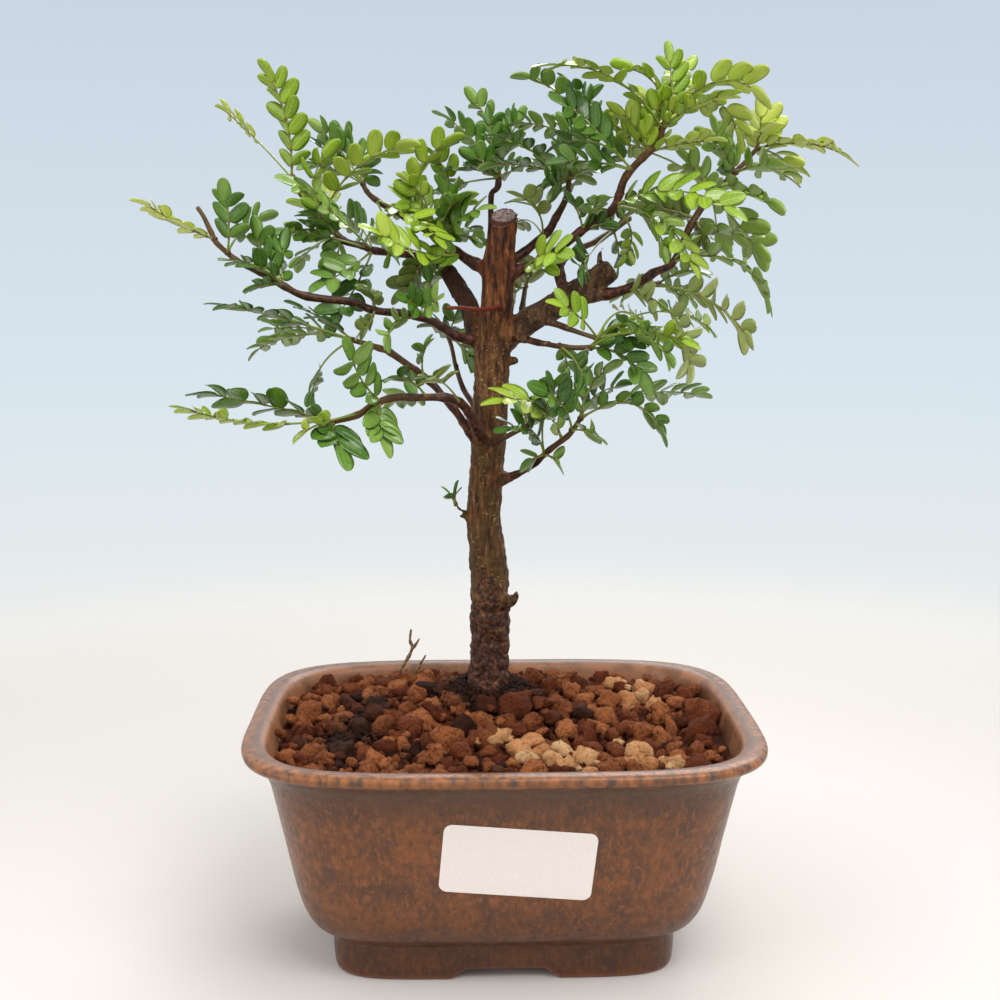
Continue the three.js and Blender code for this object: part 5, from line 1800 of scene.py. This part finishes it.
    def _pointed(
        self, ahead: Array, span: Array, face: Array, hand: Array, roll: float, draw: np.random.Generator
    ) -> tuple[Array, Array]:
        """Points leaflets out from their stalk, folded towards its face and twisted a little.

        Args:
            ahead: the stalk's direction at the foot of each leaflet.
            span: the direction across the blade there.
            face: the direction out of the blade's face there.
            hand: 1 and -1 for the leaflets of the two sides, and 0 for the end leaflet.
            roll: the leaf's roll, in degrees.
            draw: the random draws.

        Returns:
            The direction along each leaflet, and the one across it.
        """
        many = len(hand)
        tilted = min(1.0, abs(roll) / self.full_fold_at)
        fold = np.radians(self.fold * tilted + draw.uniform(-12, 12, (many, 1)))
        lean = np.radians(self.lean + draw.uniform(-11, 9, (many, 1)))
        sideways = span * hand * np.cos(fold) + face * np.sin(fold)
        forward = np.where(hand == 0, ahead, sideways * np.cos(lean) + ahead * np.sin(lean))
        across = np.where(hand == 0, span, ahead * np.cos(lean) - sideways * np.sin(lean))
        out = np.cross(forward, across)
        flip = np.where(np.sum(out * face, -1, keepdims=True) < 0, -1.0, 1.0)
        across, out = across * flip, out * flip
        twist = np.radians(draw.normal(0.0, self.twist, (many, 1)))
        across = across * np.cos(twist) + out * np.sin(twist)
        forward = unit(forward + out * draw.uniform(-0.2, 0.1, (many, 1)))
        across = unit(across - forward * np.sum(across * forward, -1, keepdims=True))
        return forward, across

    def dress(self) -> None:
        """Places every spray in the finish of its tone."""
        finishes = {
            Tone.YOUNG: LeafSkin(Tone.YOUNG, (98, 138, 26), (150, 180, 42), (202, 214, 100)),
            Tone.MATURE: LeafSkin(Tone.MATURE, (34, 70, 20), (80, 124, 36), (138, 168, 74)),
            Tone.OLIVE: LeafSkin(Tone.OLIVE, (84, 104, 40), (122, 140, 62), (164, 174, 104)),
        }
        built = {tone: finish.build() for tone, finish in finishes.items()}
        for index, (name, (tone, bud, leaves)) in enumerate(SPRAYS.items()):
            draw = np.random.default_rng(self.first_seed + index)
            twig = seen(np.asarray(bud, float))
            lighter = LIGHTER.get(name, 0.0)
            skin = Skin()
            for leaf in leaves:
                self.leaf(skin, self.course(name, bud, leaf), twig, leaf, draw, lighter)
            extra = list(MORE.get(name, ()))
            if self.crowded(bud):
                extra += self.companions(bud, leaves, draw)
            for leaf in extra:
                course = Course.of(bud, leaf, 0.0, self.before_twig, self.deepest)
                self.leaf(skin, course, twig, leaf, draw, lighter)
            place(skin.mesh(f"leaves_{name}"), built[Tone(tone)], tone, f"spray_{name}")


@dataclass
class Wood:
    """The trunk with its limbs as one grown body, and the thin branches that leave it.

    The saw fields are the direction out of the sawn top, its radius, and how far below its middle
    the trunk's last plain ring may stand.
    """

    voxel: float = 0.42
    saw_normal: Row = (-0.1, -0.54, 0.84)
    saw_radius: float = 4.1
    saw_depth: float = 3.6
    blunt_from: float = 2.0
    smoothings: int = 7
    branch_steps: int = 7

    def body(self) -> bpy.types.Mesh:
        """Trunk, limbs and stubs run together, smoothed, and given the relief of their bark.

        Returns:
            The trunk's mesh.
        """
        skin = Skin()
        path = smoothed(np.array(TRUNK), 8)
        centre = seen(path[:, :3])
        top = centre[-1]
        keep = centre[:, 2] < top[2] - self.saw_depth
        centre = np.concatenate([centre[keep], top[None]])
        rings = tube(centre, np.append(path[keep, 3], path[-1, 3]), 48)
        saw = unit(np.array(self.saw_normal))
        flat = rings[-1]
        flat[:, 2] = top[2] - ((flat - top) * saw)[:, :2].sum(-1) / saw[2]
        skin.add(rings)
        for rows in [*LIMBS.values(), *STUBS.values()]:
            path = smoothed(np.array(rows), 6)
            dome = (0.42, 0.74) if path[-1, 3] > self.blunt_from else (0.6, 0.5)
            skin.add(tube(*domed(seen(path[:, :3]), path[:, 3], *dome), 24))
        for rows in BRANCHES.values():
            path = smoothed(np.array(rows[:3]), 8)[:13]
            widened = path[:, 3] * np.linspace(1.35, 0.9, len(path))
            skin.add(tube(*domed(seen(path[:, :3]), widened), 16))
        size = self.voxel * METRES
        mesh = remade(skin.mesh("trunk"), ("Grown", "REMESH", {"mode": "VOXEL", "voxel_size": size}))
        self._relief(mesh, self._softened(mesh), top, saw)
        return mesh

    def _softened(self, mesh: bpy.types.Mesh) -> Array:
        """The corners after each has moved half way to the mean of its neighbours, a few times.

        Args:
            mesh: the wood as it was run together.

        Returns:
            The corners, (corner, 3).
        """
        corners = corners_of(mesh)
        edges = np.zeros(len(mesh.edges) * 2, np.int32)
        mesh.edges.foreach_get("vertices", edges)
        one, other = edges.reshape(-1, 2).T
        neighbours = np.bincount(one, minlength=len(corners))
        neighbours = neighbours + np.bincount(other, minlength=len(corners))
        for _ in range(self.smoothings):
            around = np.zeros_like(corners)
            for axis in range(3):
                around[:, axis] = np.bincount(one, corners[other, axis], len(corners))
                around[:, axis] += np.bincount(other, corners[one, axis], len(corners))
            corners = 0.5 * corners + 0.5 * around / np.maximum(neighbours, 1)[:, None]
        return corners

    def _relief(self, mesh: bpy.types.Mesh, corners: Array, top: Array, saw: Array) -> None:
        """Moves each corner out by the bark's unevenness for its height, and marks the bark's parts.

        Args:
            mesh: the wood, changed in place.
            corners: where its corners stand without the unevenness.
            top: the middle of the sawn face.
            saw: the direction out of it.
        """
        set_corners(mesh, corners)
        out = outward(mesh)
        height = corners[:, 2]
        from_cut = (corners - top) @ saw
        in_plane = np.linalg.norm(corners - top - from_cut[:, None] * saw, axis=-1)
        sawn = eased((from_cut + 0.75) / 0.35) * (in_plane < 8.0) * eased((out @ saw - 0.5) / 0.3)
        rough = Unevenness(21)
        lump = rough.at(corners, 6.5)
        low = eased((112.0 - height) / 16.0)
        high = eased((height - 178.0) / 22.0)
        crumbs = 0.55 * rough.at(corners, 2.4) + 0.4 * rough.at(corners, 1.1)
        bands = 0.26 * rough.at(corners, (1.3, 1.3, 4.0)) + 0.18 * rough.at(corners, 1.3)
        bands = bands + 0.16 * rough.at(corners, (6.0, 6.0, 1.4))
        split = np.abs(rough.at(corners, (1.5, 1.5, 7.5)))
        fissures = -0.5 * (1.0 - eased(split / 0.22)) + 0.22 * rough.at(corners, (1.1, 1.1, 4.0))
        bark = 0.32 * lump + low * crumbs + (1 - low) * (1 - high) * bands + high * fissures
        corners = corners + out * (bark * (1.0 - sawn))[:, None]
        axis = seen(np.array(TRUNK)[:, :3])
        off_axis = np.abs(corners[:, 0] - np.interp(height, axis[:, 2], axis[:, 0]))
        crook = eased((off_axis - 5.8) / 1.6) * eased((height - 160.0) / 8.0)
        ring = sawn * eased((in_plane - self.saw_radius + 0.75) / 0.4)
        right = eased(corners[:, 0] / 4.0)
        crook = crook * (1.0 - sawn)
        set_value(mesh, "sawn", sawn)
        set_value(mesh, "ring", ring)
        set_value(mesh, "crook", crook * right)
        # the limb at the left is marked for painted shade
        set_value(mesh, "shaded", crook * (1.0 - right))
        mesh.polygons.foreach_set("use_smooth", np.ones(len(mesh.polygons), bool))
        set_corners(mesh, corners)

    def branches(self) -> bpy.types.Mesh:
        """The thin branches, a little thicker at each row of the table, and a bud for each spray.

        Returns:
            The branches' mesh.
        """
        skin = Skin()
        knots = Unevenness(31)
        for rows in BRANCHES.values():
            path = smoothed(np.array(rows), self.branch_steps)
            centre = seen(path[:, :3])
            step = np.arange(len(path)) % self.branch_steps
            from_row = np.minimum(step, self.branch_steps - step)
            swelling = 1.0 + 0.16 * np.exp(-((from_row / 1.1) ** 2))
            radii = path[:, 3] * swelling * (1.0 + 0.1 * knots.at(centre, 4.0))
            stray = np.stack([knots.at(centre + shift, 5.0) for shift in (0.0, 40.0, 80.0)], -1)
            centre, radii = domed(centre + 0.25 * stray, radii)
            young = eased(np.linspace(-0.6, 1.0, len(radii)))[:, None] * 0.45
            red = 1.0 if rows is BRANCHES["frontThin"] else 0.0
            skin.add(tube(centre, radii, 12), young=young, red=red)
        for name, (_, bud, _) in SPRAYS.items():
            middle = seen(np.asarray(bud, float))
            lift = np.linspace(-1.0, 1.0, 7)
            size = 0.55 if name == "trunkSprout" else 1.0
            path = middle + np.outer(lift, (0.15, -0.35, 0.9)) * size
            skin.add(tube(path, size * np.sqrt(1.02 - lift**2), 10), young=0.25, red=0.0)
        return skin.mesh("branches")

    def dress(self) -> None:
        """Places the trunk and the branches."""
        place(self.body(), Bark().build(), "bark", "wood")
        place(self.branches(), Twig().build(), "bark", "wood")


@dataclass
class Sprig:
    """The dry forked stem by the back wall."""

    STEMS = (
        ((-31.8, 73, 46, 0.75), (-32.4, 77, 46, 0.8), (-31.2, 81, 46, 0.6), (-28.6, 85, 45, 0.6),
         (-27, 88.6, 45, 0.55), (-27.6, 91, 45, 0.45), (-27.3, 94.2, 45, 0.3)),
        ((-27.4, 87.8, 45, 0.5), (-26, 89.6, 44.5, 0.5), (-24.9, 91.4, 44, 0.25)),
        ((-31.4, 80, 46, 0.5), (-29.6, 80.6, 43, 0.35), (-28.4, 82.4, 42, 0.2)),
        ((-26.4, 79, 46, 0.6), (-25.2, 82.5, 46, 0.5), (-23, 86.3, 45.5, 0.25)),
    )

    def dress(self) -> None:
        """Places the stems in one piece, each a tube through its row of points."""
        skin = Skin()
        knots = Unevenness(41)
        for rows in self.STEMS:
            path = smoothed(np.array(rows), 7)
            centre = seen(path[:, :3])
            radii = path[:, 3] * (1.0 + 0.25 * knots.at(centre, 1.6))
            skin.add(tube(*domed(centre, radii), 9))
        dry = Plain("dry_stem", (84, 62, 42), (158, 126, 84), 0.8, 0.15, 1.2)
        place(skin.mesh("dry_sprig"), dry.build(), "dry", "drySprig")


@dataclass
class Studio:
    """Pale floor, soft lights and the camera at the photograph's angle."""

    floor_radius: float = 0.8
    fade_from: float = 0.14
    fade_to: float = 0.64

    # The sky as the camera sees it, and the sky that lights the object, from below to above
    SHOWN = (
        (0.0, (244, 241, 236)), (0.35, (236, 238, 236)), (0.62, (216, 229, 238)), (1.0, (200, 211, 224)),
    )
    LIGHT = (
        (0.0, (104, 100, 96)), (0.5, (150, 149, 148)), (0.75, (210, 211, 212)), (1.0, (238, 240, 242)),
    )

    def floor(self) -> None:
        """A pale round floor that fades out into the backdrop."""
        turn = np.linspace(0.0, 2 * np.pi, 96, endpoint=False)
        steps = np.array([0.02, 0.3, 0.6, 1.0]) * self.floor_radius
        rings = np.stack([np.outer(steps, np.cos(turn)), np.outer(steps, np.sin(turn))], -1)
        height = np.full((*rings.shape[:2], 1), -0.0002)
        points = np.concatenate([rings, height], -1)
        skin = Skin()
        skin.add(np.concatenate([points, points[::-1] - np.array([0, 0, 0.01])]) / METRES)
        mesh = skin.mesh("floor")
        paint = Paint("floor_pale", 0.9, grip=0.1)
        away = paint.tree.nodes.new("ShaderNodeVectorMath")
        away.operation = "LENGTH"
        paint.tree.links.new(paint.place, away.inputs[0])
        fade = paint.span(away.outputs["Value"], self.fade_from, self.fade_to, 1.0, 0.0)
        paint.tree.links.new(fade, paint.shader.inputs["Alpha"])
        paint.shader.inputs["Base Color"].default_value = linear(210, 205, 199)
        mesh.materials.append(paint.material)
        new_object("floor", mesh)

    def backdrop(self) -> None:
        """A pale sky, warmer at the horizon and bluer above."""
        world = bpy.data.worlds.new("backdrop")
        bpy.context.scene.world = world
        world.use_nodes = True
        nodes, links = world.node_tree.nodes, world.node_tree.links
        where = nodes.new("ShaderNodeTexCoord")
        split = nodes.new("ShaderNodeSeparateXYZ")
        climb = nodes.new("ShaderNodeMapRange")
        links.new(where.outputs["Generated"], split.inputs[0])
        links.new(split.outputs[2], climb.inputs[0])
        climb.inputs[1].default_value = -0.5
        climb.inputs[2].default_value = 0.2
        pale = colour_ramp(world.node_tree, climb.outputs[0], self.SHOWN)
        soft = colour_ramp(world.node_tree, climb.outputs[0], self.LIGHT)
        straight = nodes.new("ShaderNodeLightPath")
        choice = nodes.new("ShaderNodeMix")
        choice.data_type = "RGBA"
        links.new(straight.outputs["Is Camera Ray"], choice.inputs[0])
        links.new(soft, choice.inputs[6])
        links.new(pale, choice.inputs[7])
        links.new(choice.outputs[2], nodes["Background"].inputs[0])
        nodes["Background"].inputs[1].default_value = 1.0

    def lights(self) -> None:
        """A wide key light above and before, a softer fill at the left, and one behind."""
        for name, spot, aim, wide, watts in (
            ("key", (0.35, -0.55, 1.05), (0, 0, 0.14), 0.7, 9.0),
            ("fill", (-0.85, -0.45, 0.6), (0, 0, 0.12), 0.8, 3.0),
            ("back", (0.2, 0.8, 0.8), (0, 0, 0.16), 0.6, 5.0),
        ):
            lamp = bpy.data.lights.new(name, "AREA")
            lamp.size = wide
            lamp.energy = watts
            light = new_object(name, lamp)
            back = unit(np.array(spot) - np.array(aim))
            right = unit(np.cross((0.0, 0.0, 1.0), back))
            light.matrix_world = self._stand(right, np.cross(back, right), back, np.array(spot))

    @staticmethod
    def _stand(right: Array, up: Array, back: Array, spot: Array) -> Matrix:
        """A matrix from three square directions and a place.

        Args:
            right: where its x points.
            up: where its y points.
            back: where its z points.
            spot: its place.

        Returns:
            The matrix.
        """
        rows = np.eye(4)
        rows[:3, 0], rows[:3, 1], rows[:3, 2], rows[:3, 3] = right, up, back, spot
        return Matrix(rows.tolist())

    def camera(self) -> None:
        """The camera at the eye, looking a little down and to the right."""
        ahead = np.array(
            [math.sin(HEADING) * math.cos(PITCH), math.cos(HEADING) * math.cos(PITCH), -math.sin(PITCH)]
        )
        level = np.array([math.cos(HEADING), -math.sin(HEADING), 0.0])
        up = np.cross(level, ahead)
        right = level * math.cos(ROLL) + up * math.sin(ROLL)
        up = np.cross(right, ahead)
        lens = bpy.data.cameras.new("camera")
        lens.lens = LENS
        lens.sensor_width = 36.0
        lens.clip_start, lens.clip_end = 0.01, 20.0
        camera = new_object("camera", lens)
        camera.matrix_world = self._stand(right, up, -ahead, EYE * METRES)
        bpy.context.scene.camera = camera

    def build(self) -> None:
        """Sets up the whole studio."""
        self.camera()
        self.floor()
        self.backdrop()
        self.lights()
        bpy.context.scene.view_settings.view_transform = "Standard"


def main() -> None:
    """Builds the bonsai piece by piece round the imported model."""
    logging.basicConfig(level=logging.INFO, format="%(name)s: %(message)s")
    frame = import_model()
    Studio().build()
    pot = Pot()
    pot.dress()
    Label(pot).dress()
    Soil().dress()
    Wood().dress()
    Sprig().dress()
    Sprays(frame["nodes"]).dress()
    net = Plain("net", (24, 27, 32), (40, 44, 50), 0.55, 0.05).build()
    for name in ("drainNetLeft", "drainNetRight"):
        frame["nodes"][name].data.materials.clear()
        frame["nodes"][name].data.materials.append(net)
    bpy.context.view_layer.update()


if __name__ == "__main__":
    main()
